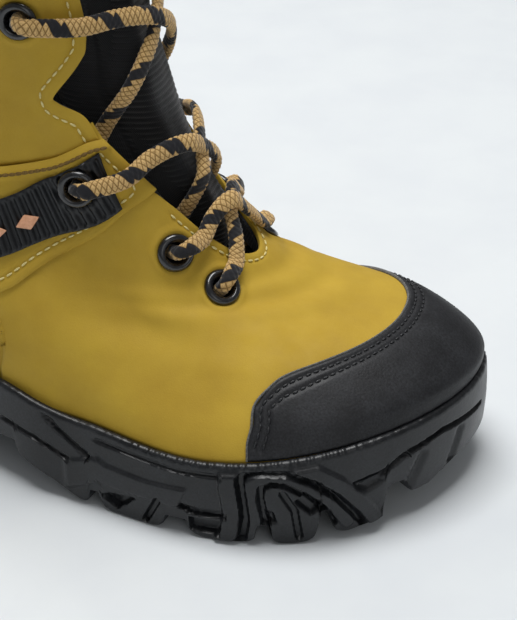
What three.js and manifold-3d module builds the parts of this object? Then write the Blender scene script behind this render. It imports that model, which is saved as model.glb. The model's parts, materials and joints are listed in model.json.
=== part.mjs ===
// A right mountaineering boot: lugged rubber sole unit, leather upper in layered panels, padded
// tongue, rolled eyelets and one criss-crossed lace whose ends are tucked into the shaft.
// Millimetres. +X points to the toe, +Y to the inner (medial) side, +Z up.
import * as THREE from 'three';
import { mergeVertices } from 'three/addons/utils/BufferGeometryUtils.js';
import Module from 'manifold-3d';

const wasm = await Module();
wasm.setup();

// ---------- driving dimensions ----------
const TOE_X = 110;              // toe of the upper at the feather line
const HEEL_X = -112;            // heel of the upper at the feather line
const COLLAR_Z = 190;           // front of the collar
const COLLAR_DROP = 6;          // the collar's back lies this much lower
const BALL_LATERAL = 58;        // half widths at the ball, from the heel-to-toe line
const BALL_MEDIAL = 39;
const HEEL_HALF = 31;
const TOE_SWING = 13;           // the toe's turn to the medial side

const FIT = 0.3;                // clearance between pieces that touch
const LAYER_GAP = COLLAR_Z / 158;  // clearance between curved layers, whose facets grow with the boot
const LEATHER = 1.5;            // main panels
const OVERLAY = 1.5;            // toe cap, heel cap, strap and backstay
const PLATE = 2;                // ribbed rubber plate on the strap
const FOAM = 2;                 // padding, toe puff and heel counter
const LINING = 1;
const TONGUE = 5;               // tongue, thick
const TONGUE_HINGE = 0.46;      // height fraction where the tongue is sewn in

const TREAD_Z = 6;              // lug height
const FLOOR_Z = 11;             // inside floor of the sole unit
const SOLE_OUT = 3.5;           // the sole stands out from the upper
const SOLE_WALL = 4.5;          // the ledge under the upper, measured inwards
const LIP = 1;                  // the sole's bead above the feather line
const LIP_CLEAR = 0.8;          // from the bead to the upper, which swells above it
const TOE_SPRING = 12;          // how far the tread rises under the toe
const SPRING_FROM = 0.76;       // fraction of the length where the rise starts
const MIDSOLE_GAP = 2.2;        // from the midsole's top to the feather line
const BOARD = 1.5;              // insole board
const FOOTBED = 4;
const SHANK = { from: 0.2, to: 0.62, half: 9, thick: 1.6 };
const LUGS = { count: 9, depth: 15, gap: 5, rows: 7, innerHalf: 9, innerLength: 13 };

const LACE = 4.2;               // lace diameter
const EYELET_BORE = 3.5;        // radii of the eyelets
const EYELET_BARREL = 4.4;
const EYELET_FLANGE = 6.4;
const FLANGE = 1.3;
const FLANGE_LIFT = 1.3;        // flat flange over the curved leather
const AGLET = { radius: 1.7, length: 16 };
const LOOP = { width: 14, depth: 8, height: 30, web: 1.6, below: 12, sway: 0.5 };

const COLOURS = { mustard: 0xb2902f, black: 0x1b1c1e, rubber: 0x232427, textile: 0x16171a,
  foam: 0x4a4a4c, board: 0xb9ab8c, steel: 0x9a9ca0, eva: 0x2c2d30, tan: 0xc9a76b };

// ---------- shape of the upper ----------
// Each curve runs over the height fraction v: 0 at the feather line, 1 at the collar.
function curve(knots) {
  const slope = [];
  for (let i = 0; i + 1 < knots.length; i++) {
    slope.push((knots[i + 1][1] - knots[i][1]) / (knots[i + 1][0] - knots[i][0]));
  }
  const tangent = knots.map((_, i) => {
    const a = slope[Math.max(i - 1, 0)];
    const b = slope[Math.min(i, slope.length - 1)];
    return a * b <= 0 ? 0 : 2 * a * b / (a + b);
  });
  return (v) => {
    const last = knots.length - 1;
    if (v <= knots[0][0]) return knots[0][1] + tangent[0] * (v - knots[0][0]);
    if (v >= knots[last][0]) return knots[last][1] + tangent[last] * (v - knots[last][0]);
    const i = knots.findIndex((k) => k[0] > v) - 1;
    const h = knots[i + 1][0] - knots[i][0];
    const t = (v - knots[i][0]) / h;
    const s = 1 - t;
    return knots[i][1] * (1 + 2 * t) * s * s + knots[i + 1][1] * (3 - 2 * t) * t * t
      + h * s * t * (tangent[i] * s - tangent[i + 1] * t);
  };
}
const frontX = curve([[0, TOE_X], [0.1, TOE_X + 1], [0.2, TOE_X - 14], [0.32, TOE_X - 42],
  [0.44, TOE_X - 67], [0.56, TOE_X - 82], [0.7, TOE_X - 101], [0.85, TOE_X - 112], [1, TOE_X - 120]]);
const frontZ = curve([[0, 37], [0.1, 43], [0.2, 54], [0.32, 60], [0.44, 68], [0.56, 84],
  [0.7, COLLAR_Z - 72], [0.85, COLLAR_Z - 34], [1, COLLAR_Z]]);
const backX = curve([[0, HEEL_X], [0.1, HEEL_X - 2], [0.2, HEEL_X - 1], [0.44, HEEL_X + 5],
  [0.7, HEEL_X + 8], [0.85, HEEL_X + 7], [1, HEEL_X + 3]]);
const backZ = curve([[0, 32], [0.2, 60], [0.44, 94], [0.7, COLLAR_Z - 56 - COLLAR_DROP / 6],
  [0.85, COLLAR_Z - 25 - COLLAR_DROP / 2], [1, COLLAR_Z - COLLAR_DROP]]);
const heelHalf = curve([[0, HEEL_HALF], [0.1, HEEL_HALF + 2], [0.2, HEEL_HALF + 2],
  [0.44, HEEL_HALF - 2], [0.7, HEEL_HALF - 3], [1, HEEL_HALF + 1]]);
const waistLateral = curve([[0, BALL_LATERAL - 8], [0.2, BALL_LATERAL - 11], [0.44, 40], [0.7, 35],
  [1, 35]]);
const ballLateral = curve([[0, BALL_LATERAL], [0.1, BALL_LATERAL - 5], [0.2, BALL_LATERAL - 15],
  [0.32, 36], [0.56, 31], [0.7, 30], [1, 32]]);
const waistMedial = curve([[0, BALL_MEDIAL - 9], [0.32, 33], [1, 34]]);
const ballMedial = curve([[0, BALL_MEDIAL], [0.1, BALL_MEDIAL - 1], [0.2, BALL_MEDIAL - 3],
  [0.32, 33], [0.56, 30], [0.7, 30], [1, 32]]);
const toeStart = curve([[0, 0.7], [0.32, 0.69], [0.44, 0.65], [1, 0.65]]);
const heelEnd = curve([[0, 0.15], [0.2, 0.16], [0.44, 0.22], [0.7, 0.33], [1, 0.36]]);
const swing = curve([[0, TOE_SWING], [0.2, TOE_SWING * 0.85], [0.44, TOE_SWING * 0.5],
  [0.7, TOE_SWING * 0.12], [1, 0]]);
const TOE_POWER = 2.5;          // bluntness of the toe's outline
const LEVEL_BELOW = 0.1;        // height fraction up to which offsets are levelled
const BALL_DIP = 7;             // the feather line's dip under the ball

const clamp = (t) => Math.min(Math.max(t, 0), 1);
const ease = (t) => clamp(t) ** 2 * (3 - 2 * clamp(t));
const dip = (s) => BALL_DIP * Math.exp(-(((s - 0.66) / 0.2) ** 2));
const along = (a) => (1 - Math.cos(a * Math.PI)) / 2;       // fraction from heel to toe

function halfWidth(s, heel, waist, ball, knee, end) {
  const widened = heel + (waist - heel) * ease((s - 0.14) / 0.28);
  const atBall = widened + (ball - waist) * ease((s - 0.42) / (knee - 0.42));
  return atBall * (1 - (1 - end) * clamp((s - knee) / (1 - knee)) ** 2);
}

// A point of the upper's outer face. a runs round the boot: 0 heel, 1 toe, 0 to 1 lateral,
// 1 to 2 (or 0 to -1) medial.
function skin(a, v) {
  const s = along(a);
  const medial = ((a % 2) + 2) % 2 > 1;
  const width = medial
    ? halfWidth(s, heelHalf(v), waistMedial(v), ballMedial(v), 0.74, 0.98)
    : halfWidth(s, heelHalf(v), waistLateral(v), ballLateral(v), 0.68, 0.86);
  const heelCap = Math.sqrt(1 - (1 - clamp(s / heelEnd(v))) ** 2);
  const toeCap = Math.sqrt(1 - clamp((s - toeStart(v)) / (1 - toeStart(v))) ** TOE_POWER);
  return new THREE.Vector3(
    backX(v) + (frontX(v) - backX(v)) * s,
    (medial ? 1 : -1) * width * heelCap * toeCap + swing(v) * clamp((s - 0.5) / 0.5) ** 2,
    backZ(v) + (frontZ(v) - backZ(v)) * s - dip(s) * (1 - clamp(v)) ** 3);
}

// Outward normal, level at the feather line so that the panels' lower edges lie in one plane.
function outward(a, v) {
  const step = 0.004;
  const round = skin(a + step, v).sub(skin(a - step, v));
  const up = skin(a, v + step).sub(skin(a, v - step));
  const normal = round.cross(up).normalize();
  normal.z *= ease(v / LEVEL_BELOW);
  return normal.normalize();
}

const place = (a, v, offset) => skin(a, v).addScaledVector(outward(a, v), offset);

// ---------- mesh helpers ----------
const group = new THREE.Group();

function add(name, geometry, colour, roughness = 0.7, metalness = 0) {
  const material = new THREE.MeshStandardMaterial({ color: colour, roughness, metalness });
  const mesh = new THREE.Mesh(geometry, material);
  mesh.name = name;
  group.add(mesh);
  return mesh;
}

function solid(geometry) {
  const bare = geometry.clone();
  for (const key of Object.keys(bare.attributes)) if (key !== 'position') bare.deleteAttribute(key);
  const merged = mergeVertices(bare, 1e-4);
  return new wasm.Manifold(new wasm.Mesh({ numProp: 3,
    vertProperties: new Float32Array(merged.attributes.position.array),
    triVerts: new Uint32Array(merged.index.array) }));
}

function geometryOf(manifold) {
  const mesh = manifold.getMesh();
  const geometry = new THREE.BufferGeometry();
  geometry.setAttribute('position', new THREE.BufferAttribute(new Float32Array(mesh.vertProperties), 3));
  geometry.setIndex(new THREE.BufferAttribute(new Uint32Array(mesh.triVerts), 1));
  return geometry;
}

const cut = (geometry, tools) => geometryOf(
  tools.reduce((body, tool) => body.subtract(solid(tool)), solid(geometry)));

function fromGrid(points, faces) {
  const geometry = new THREE.BufferGeometry();
  geometry.setAttribute('position', new THREE.Float32BufferAttribute(points.flatMap((p) => p.toArray()), 3));
  geometry.setIndex(faces);
  return geometry;
}

// The point at fraction t of a row of [a, v] pairs, which are spaced evenly.
function onRow(row, t) {
  const at = t * (row.length - 1);
  const i = Math.min(Math.floor(at), row.length - 2);
  return [0, 1].map((k) => row[i][k] + (row[i + 1][k] - row[i][k]) * (at - i));
}

// A panel between rows of [a, v] pairs, from its inner offset to its outer one.
// The offsets are numbers or functions of (a, v).
function panel(rows, columns, steps, inner, outer) {
  const offset = [inner, outer].map((o) => (typeof o === 'function' ? o : () => o));
  const grid = [];
  const levels = (rows.length - 1) * steps;
  for (let j = 0; j <= levels; j++) {
    const r = Math.min(Math.floor(j / steps), rows.length - 2);
    for (let i = 0; i <= columns; i++) {
      const low = onRow(rows[r], i / columns);
      const high = onRow(rows[r + 1], i / columns);
      grid.push([0, 1].map((k) => low[k] + (high[k] - low[k]) * (j / steps - r)));
    }
  }
  const points = [0, 1].flatMap((side) => grid.map(([a, v]) => place(a, v, offset[side](a, v))));
  const at = (i, j, side) => side * grid.length + j * (columns + 1) + i;
  const faces = [];
  const quad = (a, b, c, d) => faces.push(a, b, c, a, c, d);
  for (let j = 0; j < levels; j++) {
    for (let i = 0; i < columns; i++) {
      quad(at(i, j, 1), at(i + 1, j, 1), at(i + 1, j + 1, 1), at(i, j + 1, 1));
      quad(at(i, j, 0), at(i, j + 1, 0), at(i + 1, j + 1, 0), at(i + 1, j, 0));
    }
    quad(at(0, j, 0), at(0, j, 1), at(0, j + 1, 1), at(0, j + 1, 0));
    quad(at(columns, j, 1), at(columns, j, 0), at(columns, j + 1, 0), at(columns, j + 1, 1));
  }
  for (let i = 0; i < columns; i++) {
    quad(at(i, 0, 0), at(i + 1, 0, 0), at(i + 1, 0, 1), at(i, 0, 1));
    quad(at(i, levels, 1), at(i + 1, levels, 1), at(i + 1, levels, 0), at(i, levels, 0));
  }
  return fromGrid(points, faces);
}

const mirrored = (row) => row.map(([a, v]) => [2 - a, v]).reverse();
const bothSides = (row) => [...row, ...mirrored(row).slice(1)];

// ---------- outlines on the upper, as [a, v] pairs ----------
// Front edge of the quarter and shaft with the matching height at the heel: [a, v, heel v].
const REAR_ROWS = [[0.37, 0, 0], [0.39, 0.18, 0.09], [0.425, 0.35, 0.2], [0.55, 0.505, 0.33],
  [0.69, 0.617, 0.44], [0.775, 0.652, 0.52], [0.765, 0.687, 0.56], [0.745, 0.715, 0.6],
  [0.73, 0.741, 0.63], [0.682, 0.757, 0.66], [0.68, 0.768, 0.69], [0.755, 0.812, 0.75],
  [0.783, 0.835, 0.79], [0.8, 0.885, 0.86], [0.8, 1, 1]];
const SEAM_ROW = 7;             // the row along which quarter and shaft meet
const HEEL_SEAM = 0.008;        // half the gap between lateral and medial panels at the heel
const THROAT = [[0.84, 0.614], [0.885, 0.555], [0.93, 0.515], [1, 0.5]];
const ABOVE_LIP = 0.035;        // height fraction where the overlays clear the sole's bead
const SEAM_GAP = 0.0045;        // in height fraction and in turns, between butted panels

function rearRow([front, vFront, vHeel], from, to, shift = 0, inset = 0) {
  const row = [];
  for (let i = 0; i <= 12; i++) {
    const t = from + (to - from) * i / 12;
    const a = t * (front - inset);
    row.push([a, vHeel + (vFront - vHeel) * Math.abs(t) ** 2.3 + shift]);
  }
  return row;
}

function sideRows(rows, shiftFirst, shiftLast) {
  return rows.map((row, i) => {
    const shift = i === 0 ? shiftFirst : i === rows.length - 1 ? shiftLast : 0;
    return rearRow(row, HEEL_SEAM / row[0], 1, shift);
  });
}
const QUARTER_ROWS = sideRows(REAR_ROWS.slice(0, SEAM_ROW + 1), 0, -SEAM_GAP / 2);
const SHAFT_ROWS = sideRows(REAR_ROWS.slice(SEAM_ROW), SEAM_GAP / 2, 0);
const VAMP_LOW = bothSides([0.385, 0.42, 0.5, 0.58, 0.66, 0.74, 0.82, 0.91, 1].map((a) => [a, 0]));
const VAMP_HIGH = bothSides([[0.402, 0.17], [0.436, 0.342], [0.563, 0.497], [0.7, 0.608],
  [0.785, 0.645], ...THROAT]);
const CAP_LOW = bothSides([0.652, 0.7, 0.76, 0.83, 0.92, 1].map((a) => [a, ABOVE_LIP]));
const CAP_HIGH = bothSides([[0.657, 0.135], [0.689, 0.178], [0.74, 0.207], [0.8, 0.223],
  [0.9, 0.241], [1, 0.25]]);
const STRAP_LOW = [[0.215, 0.2], [0.33, 0.25], [0.437, 0.333], [0.558, 0.483], [0.703, 0.596],
  [0.835, 0.64]];
const STRAP_HIGH = [[0.215, 0.6], [0.36, 0.612], [0.511, 0.642], [0.62, 0.672], [0.7, 0.697],
  [0.755, 0.705]];
const PLATE_LOW = [[0.225, 0.26], [0.34, 0.34], [0.464, 0.443], [0.571, 0.536], [0.726, 0.616]];
const PLATE_HIGH = [[0.225, 0.47], [0.36, 0.53], [0.493, 0.585], [0.597, 0.641], [0.733, 0.694]];

// Layers, as offsets of their faces from the upper's outer face.
const LAYER = {
  leather: [-LEATHER, 0],
  overlay: [LAYER_GAP, LAYER_GAP + OVERLAY],
  plate: [2 * LAYER_GAP + OVERLAY, 2 * LAYER_GAP + OVERLAY + PLATE],
  foam: [-LEATHER - LAYER_GAP - FOAM, -LEATHER - LAYER_GAP],
};
LAYER.lining = [LAYER.foam[0] - LAYER_GAP - LINING, LAYER.foam[0] - LAYER_GAP];
const UNDER_STRAND = LAYER.lining[0] - 4 * FIT - LACE / 2;  // a strand between lining and tongue
const TONGUE_EDGE = UNDER_STRAND - LACE / 2 - 2 * FIT;      // the tongue's face below such strands

// ---------- eyelets ----------
// Bottom to top; plate says that the eyelet sits on the strap's plate.
const EYELETS = [{ a: 0.81, v: 0.446 }, { a: 0.777, v: 0.539 }, { a: 0.659, v: 0.64, plate: true },
  { a: 0.647, v: 0.873 }, { a: 0.66, v: 0.955 }];

function sites() {
  return EYELETS.flatMap((e, level) => ['lateral', 'medial'].map((side) => {
    const a = side === 'lateral' ? e.a : 2 - e.a;
    const seat = (e.plate ? LAYER.plate[1] : 0) + FLANGE_LIFT;
    return { name: `eyelet_${side}_${level + 1}`, side, level, a, v: e.v, seat, plate: e.plate,
      at: skin(a, e.v), axis: outward(a, e.v) };
  }));
}
const SITES = sites();

// Turns a shape made along +Y so that it stands on the leather at an eyelet.
function stand(geometry, site) {
  const turn = new THREE.Quaternion().setFromUnitVectors(new THREE.Vector3(0, 1, 0), site.axis);
  return geometry.applyQuaternion(turn).translate(...site.at.toArray());
}

function eyelet(site) {
  const top = site.seat + FLANGE;
  const end = LAYER.lining[0] - FIT;
  const profile = [[EYELET_BORE, end], [EYELET_BARREL, end], [EYELET_BARREL, site.seat],
    [EYELET_FLANGE, site.seat], [EYELET_FLANGE - 0.4, top], [EYELET_BORE, top], [EYELET_BORE, end]];
  const lathe = new THREE.LatheGeometry(profile.map(([r, y]) => new THREE.Vector2(r, y)), 12);
  return stand(lathe, site);
}

const HOLE_REACH = 14;
const hole = (site) => stand(new THREE.CylinderGeometry(EYELET_BARREL + 2 * FIT, EYELET_BARREL + 2 * FIT,
  2 * HOLE_REACH, 10), site);
const holes = (test) => SITES.filter(test).map(hole);

// ---------- sole ----------
const featherZ = (s) => skin(Math.acos(1 - 2 * s) / Math.PI, 0).z;
const spring = (s) => TOE_SPRING * clamp((s - SPRING_FROM) / (1 - SPRING_FROM)) ** 2;

// A point of the feather line moved outwards in plan.
function rim(a, offset) {
  const step = 0.004;
  const run = skin(a + step, 0).sub(skin(a - step, 0));
  const normal = new THREE.Vector3(run.y, -run.x, 0).normalize();
  return skin(a, 0).addScaledVector(normal, offset);
}

// A slab inside the feather line, from fraction s0 to s1 of the length; low and high give the
// heights of its faces.
function slab(offset, low, high, a0 = 0, a1 = 1, stations = 28, half = null) {
  const points = [];
  const faces = [];
  for (let i = 0; i <= stations; i++) {
    const a = a0 + (a1 - a0) * i / stations;
    const s = along(a);
    const sides = [rim(a, offset), rim(2 - a, offset)];
    if (half !== null) sides.forEach((p, k) => { p.y = k ? half : -half; });
    for (const p of sides) {
      points.push(new THREE.Vector3(p.x, p.y, low(s)), new THREE.Vector3(p.x, p.y, high(s)));
    }
  }
  const quad = (a, b, c, d) => faces.push(a, b, c, a, c, d);
  for (let i = 0; i < stations; i++) {
    const [p, q] = [4 * i, 4 * i + 4];
    quad(p, q, q + 1, p + 1);
    quad(p + 2, p + 3, q + 3, q + 2);
    quad(p + 1, q + 1, q + 3, p + 3);
    quad(p, p + 2, q + 2, q);
  }
  const e = 4 * stations;
  quad(0, 1, 3, 2);
  quad(e, e + 2, e + 3, e + 1);
  return fromGrid(points, faces);
}

const OPEN_ABOVE = 60;          // how far cutting slabs reach past what they cut
const ENDS = [0.01, 0.99];      // slabs stop just short of the outline's very tips
const atFraction = (s) => Math.acos(1 - 2 * s) / Math.PI;
const boardTop = (s) => featherZ(s) - MIDSOLE_GAP + FIT + BOARD;
const midsoleTop = (s) => featherZ(s) - MIDSOLE_GAP;

// Turn positions that share out half the outline evenly.
function rimStations(count) {
  const fine = 200;
  const run = [0];
  for (let i = 1; i <= fine; i++) {
    run.push(run[i - 1] + rim(i / fine, 0).distanceTo(rim((i - 1) / fine, 0)));
  }
  return Array.from({ length: count + 1 }, (_, k) => {
    const i = run.findIndex((d) => d >= run[fine] * k / count - 1e-9);
    return i / fine;
  });
}

function prism(points, height) {
  const shape = new THREE.Shape(points.map((p) => new THREE.Vector2(p.x, p.y)));
  return new THREE.ExtrudeGeometry(shape, { depth: height, bevelEnabled: false });
}

function rimLugs() {
  const stations = rimStations(LUGS.count);
  const lugs = [];
  for (const side of [1, -1]) {
    for (let i = 0; i < LUGS.count; i++) {
      const length = rim(stations[i], 0).distanceTo(rim(stations[i + 1], 0));
      const trim = LUGS.gap / 2 / length * (stations[i + 1] - stations[i]);
      const ends = [stations[i] + trim, stations[i + 1] - trim];
      const edge = [0, 0.33, 0.67, 1].map((t) => side * (ends[0] + (ends[1] - ends[0]) * t));
      const outer = edge.map((a) => rim(a, SOLE_OUT + 1));
      const inner = [edge[3], edge[0]].map((a) => rim(a * 0.97 + side * 0.015, SOLE_OUT - LUGS.depth));
      lugs.push(prism([...outer, ...inner], FLOOR_Z + TOE_SPRING));
    }
  }
  return lugs;
}

function innerLugs() {
  const lugs = [];
  for (let i = 0; i < LUGS.rows; i++) {
    const s = 0.14 + 0.72 * i / (LUGS.rows - 1);
    const a = atFraction(s);
    const [lateral, medial] = [rim(a, 0), rim(2 - a, 0)];
    const y = (lateral.y + medial.y) / 2;
    const [l, w, lean] = [LUGS.innerLength / 2, LUGS.innerHalf, 4];
    const outline = [[-l - lean, -w], [l - lean, -w], [l + lean, 0], [l - lean, w], [-l - lean, w],
      [-l + lean, 0]];
    lugs.push(prism(outline.map(([dx, dy]) => ({ x: lateral.x + dx, y: y + dy })), FLOOR_Z + TOE_SPRING));
  }
  return lugs;
}

function outsole() {
  const tread = (s) => TREAD_Z + spring(s);
  const above = (s) => featherZ(s) + OPEN_ABOVE;
  const shell = solid(slab(SOLE_OUT, tread, (s) => featherZ(s) + LIP, ...ENDS))
    .subtract(solid(slab(LIP_CLEAR, (s) => featherZ(s) - FIT, above, ...ENDS)))
    .subtract(solid(slab(-SOLE_WALL, (s) => FLOOR_Z + spring(s), above, ...ENDS)));
  const treadZone = solid(slab(SOLE_OUT, spring, (s) => tread(s) + 1, ...ENDS));
  const lugs = [...rimLugs(), ...innerLugs()].map(solid).reduce((all, lug) => all.add(lug));
  return geometryOf(shell.add(lugs.intersect(treadZone)));
}
add('outsole', outsole(), COLOURS.rubber, 0.45);

const shankEnds = [SHANK.from, SHANK.to].map(atFraction);
const slotEnds = [shankEnds[0] - 0.004, shankEnds[1] + 0.004];
const slot = slab(0, (s) => midsoleTop(s) - 2 * FIT - SHANK.thick, (s) => midsoleTop(s) + 5,
  ...slotEnds, 8, SHANK.half + FIT);
const midsole = slab(-SOLE_WALL - FIT, (s) => FLOOR_Z + spring(s) + FIT, midsoleTop, ...ENDS);
add('midsole', cut(midsole, [slot]), COLOURS.eva, 0.9);
add('shank', slab(0, (s) => midsoleTop(s) - FIT - SHANK.thick, (s) => midsoleTop(s) - FIT,
  ...shankEnds, 8, SHANK.half), COLOURS.steel, 0.35, 1);
add('insole_board', slab(-SOLE_WALL - FIT, (s) => boardTop(s) - BOARD, boardTop, ...ENDS),
  COLOURS.board, 0.9);
const FOOTBED_INSET = 3.1 - LAYER.lining[0];  // the cavity narrows above the feather line
add('footbed', slab(-FOOTBED_INSET, (s) => boardTop(s) + FIT, (s) => boardTop(s) + FIT + FOOTBED,
  0.06, 0.94), COLOURS.textile, 0.95);

// ---------- upper ----------
const side = (name, rows, columns, steps, layer, colour, test, roughness = 0.85) => {
  for (const medial of [false, true]) {
    const placed = medial ? rows.map((row) => row.map(([a, v]) => [2 - a, v]).reverse()) : rows;
    const piece = panel(placed, columns, steps, ...layer);
    const tools = holes((e) => (e.side === 'medial') === medial && test(e));
    add(`${name}_${medial ? 'medial' : 'lateral'}`, tools.length ? cut(piece, tools) : piece,
      colour, roughness);
  }
};
const low = (e) => e.level < 2;
const atStrap = (e) => e.level === 2;
const high = (e) => e.level > 2;

add('vamp', cut(panel([VAMP_LOW, VAMP_HIGH], 32, 9, ...LAYER.leather), holes(low)),
  COLOURS.mustard, 0.85);
const LINING_HIGH = VAMP_HIGH.map(([a, v]) => [a, v - 0.02]);
add('vamp_lining', cut(panel([VAMP_LOW, LINING_HIGH], 32, 6, ...LAYER.lining), holes(low)),
  COLOURS.textile, 0.95);
add('toe_cap', panel([CAP_LOW, CAP_HIGH], 30, 4, ...LAYER.overlay), COLOURS.black, 0.6);
add('toe_puff', panel([CAP_LOW, CAP_HIGH], 24, 3, ...LAYER.foam), COLOURS.board, 0.9);
side('quarter', QUARTER_ROWS, 14, 1, LAYER.leather, COLOURS.mustard, atStrap);
side('shaft', SHAFT_ROWS, 14, 1, LAYER.leather, COLOURS.mustard, high);
side('strap', [STRAP_LOW, STRAP_HIGH], 16, 4, LAYER.overlay, COLOURS.mustard, atStrap);
side('strap_plate', [PLATE_LOW, PLATE_HIGH], 12, 2, LAYER.plate, COLOURS.rubber, atStrap, 0.5);

const HEEL_SPAN = [-0.2, -0.13, -0.06, 0, 0.06, 0.13, 0.2];
const heelRow = (v, rise) => HEEL_SPAN.map((a) => [a, v + rise * (a / 0.2) ** 2]);
add('heel_cap', panel([heelRow(ABOVE_LIP, 0), heelRow(0.4, -0.12)], 12, 5, ...LAYER.overlay),
  COLOURS.black, 0.6);
add('heel_counter', panel([heelRow(0, 0), heelRow(0.32, -0.05)], 12, 4, ...LAYER.foam),
  COLOURS.board, 0.9);
const BACKSTAY_SPAN = [-0.05, -0.025, 0, 0.025, 0.05];
add('backstay', panel([0.415, 0.7, 0.97].map((v) => BACKSTAY_SPAN.map((a) => [a, v])), 4, 4,
  ...LAYER.overlay), COLOURS.black, 0.8);

const LINING_ROWS = REAR_ROWS.map((row) => rearRow(row, -1, 1));
add('shaft_lining', cut(panel(LINING_ROWS, 24, 1, ...LAYER.lining), holes((e) => e.level > 1)),
  COLOURS.textile, 0.95);
const PADDING_ROWS = REAR_ROWS.slice(4, -1).map((row) => rearRow(row, -1, 1, 0, 0.03));
add('ankle_padding', cut(panel(PADDING_ROWS, 24, 1, ...LAYER.foam), holes((e) => e.level > 1)),
  COLOURS.foam, 0.95);

// Padded roll round the top of the shaft.
const COLLAR_RADIUS = 4;
const ROLL = [];
for (let i = 0; i <= 24; i++) {
  const a = -0.79 + 1.58 * i / 24;
  const p = place(a, 1, (LAYER.lining[0] + LAYER.leather[1]) / 2);
  ROLL.push(new THREE.Vector3(p.x, p.y, skin(a, 1).z + COLLAR_RADIUS + 1));
}
const circle = (radius, count) => new THREE.Shape(Array.from({ length: count }, (_, k) => {
  const t = 2 * Math.PI * k / count;
  return new THREE.Vector2(radius * Math.cos(t), radius * Math.sin(t));
}));

// A tube through the given points, one ring at each.
function tube(points, radius, sides) {
  const route = new THREE.CatmullRomCurve3(points, false, 'centripetal');
  route.getUtoTmapping = (u) => u;
  return new THREE.ExtrudeGeometry(circle(radius, sides), { steps: points.length - 1,
    extrudePath: route, bevelEnabled: false });
}
add('collar', tube(ROLL, COLLAR_RADIUS, 10), COLOURS.textile, 0.9);

// ---------- tongue ----------
// Half the throat's opening, in turns, over the height fraction.
const throatHalf = curve([[0.46, 0.01], [0.5, 0.02], [0.515, 0.07], [0.555, 0.115], [0.614, 0.16],
  [0.645, 0.215], [0.7, 0.25], [0.757, 0.3], [0.812, 0.245], [0.885, 0.2], [1, 0.2]]);
const TONGUE_PROUD = -2;        // the tongue's face in the open throat
const tongueCrest = (v) => TONGUE_EDGE
  + (TONGUE_PROUD - TONGUE_EDGE) * ease((throatHalf(v) - 0.07) / 0.08);
function tongueFace(a, v) {
  const half = throatHalf(v);
  const t = ease((Math.abs(a - 1) - 0.25 * half) / (0.35 * half));
  return tongueCrest(v) + (TONGUE_EDGE - tongueCrest(v)) * t;
}
const TONGUE_WIDTH = curve([[0.46, 0.15], [0.6, 0.22], [0.7, 0.33], [0.76, 0.36], [0.85, 0.28],
  [1.06, 0.26]]);
const TONGUE_ROWS = [TONGUE_HINGE, 0.53, 0.6, 0.66, 0.72, 0.78, 0.85, 0.95, 1.06].map((v) => {
  const half = TONGUE_WIDTH(v);
  return [-1, -0.75, -0.5, -0.25, 0, 0.25, 0.5, 0.75, 1].map((t) => [1 + half * t, v]);
});
add('tongue', panel(TONGUE_ROWS, 16, 1, (a, v) => tongueFace(a, v) - TONGUE, tongueFace),
  COLOURS.textile, 0.95);
add('tongue_lining', panel(TONGUE_ROWS.slice(1), 16, 1,
  (a, v) => tongueFace(a, v) - TONGUE - LAYER_GAP - LINING,
  (a, v) => tongueFace(a, v) - TONGUE - LAYER_GAP), COLOURS.textile, 0.95);

// ---------- eyelets and lace ----------
for (const site of SITES) add(site.name, eyelet(site), COLOURS.black, 0.4);

const siteOf = (name, level) => SITES.find((e) => e.side === name && e.level === level);

// Points from an eyelet's axis to a strand leaving it towards the throat, outside or inside.
function turnAt(site, outside) {
  const sign = site.side === 'lateral' ? 1 : -1;
  const tucked = !outside && site.level === EYELETS.length - 1;
  const ahead = tucked ? skin(site.a - sign * 0.04, site.v - 0.1) : skin(site.a + sign * 0.02, site.v);
  const lead = ahead.sub(site.at).normalize();
  const clear = outside ? site.seat + FLANGE + LACE / 2 + 5 * FIT : UNDER_STRAND;
  const back = outside ? -1 : 1;
  return [[back * 2.4 + clear, 0.1], [back * 0.4 + clear, 1.4], [clear, 5]].map(([h, drift]) => site.at
    .clone().addScaledVector(site.axis, h).addScaledVector(lead, drift));
}
const throughHole = (site) => [-3, 0].map((h) => site.at.clone().addScaledVector(site.axis, h));

const SLOPE = 0.03;             // turns by which a strand keeps off the tongue's flanks
const CROSSINGS = [0.4925, 0.64, 0.84, 0.94];  // height fractions where each pair of strands crosses

// Height of what a strand crosses outside the throat: leather, the strap's end or its plate.
function coverFace(a, v, plate) {
  const reach = Math.abs(a - 1);
  if (reach < throatHalf(v) - 0.05) return TONGUE_EDGE;
  if (!plate) return 0;
  return reach > 0.22 ? LAYER.plate[1] : LAYER.overlay[1];
}

function strand(from, fromOutside, to, toOutside, lift) {
  const points = [];
  const rise = CROSSINGS[Math.min(from.level, to.level)] - (from.v + to.v) / 2;
  for (const t of [0.18, 0.3, 0.41, 0.5, 0.59, 0.7, 0.82]) {
    const a = from.a + (to.a - from.a) * t;
    const v = from.v + (to.v - from.v) * t + rise * Math.sin(Math.PI * t) ** 1.5;
    const nearFrom = t < 0.5;
    const outside = nearFrom ? fromOutside : toOutside;
    const site = nearFrom ? from : to;
    const rest = outside ? Math.max(tongueCrest(v), coverFace(a, v, site.plate))
      : Math.max(tongueFace(a - SLOPE, v), tongueFace(a + SLOPE, v));
    const over = rest + LACE / 2 + 4 * FIT + lift * Math.exp(-(((t - 0.5) / 0.12) ** 2));
    points.push(place(a, v, over));
  }
  return points;
}

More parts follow.
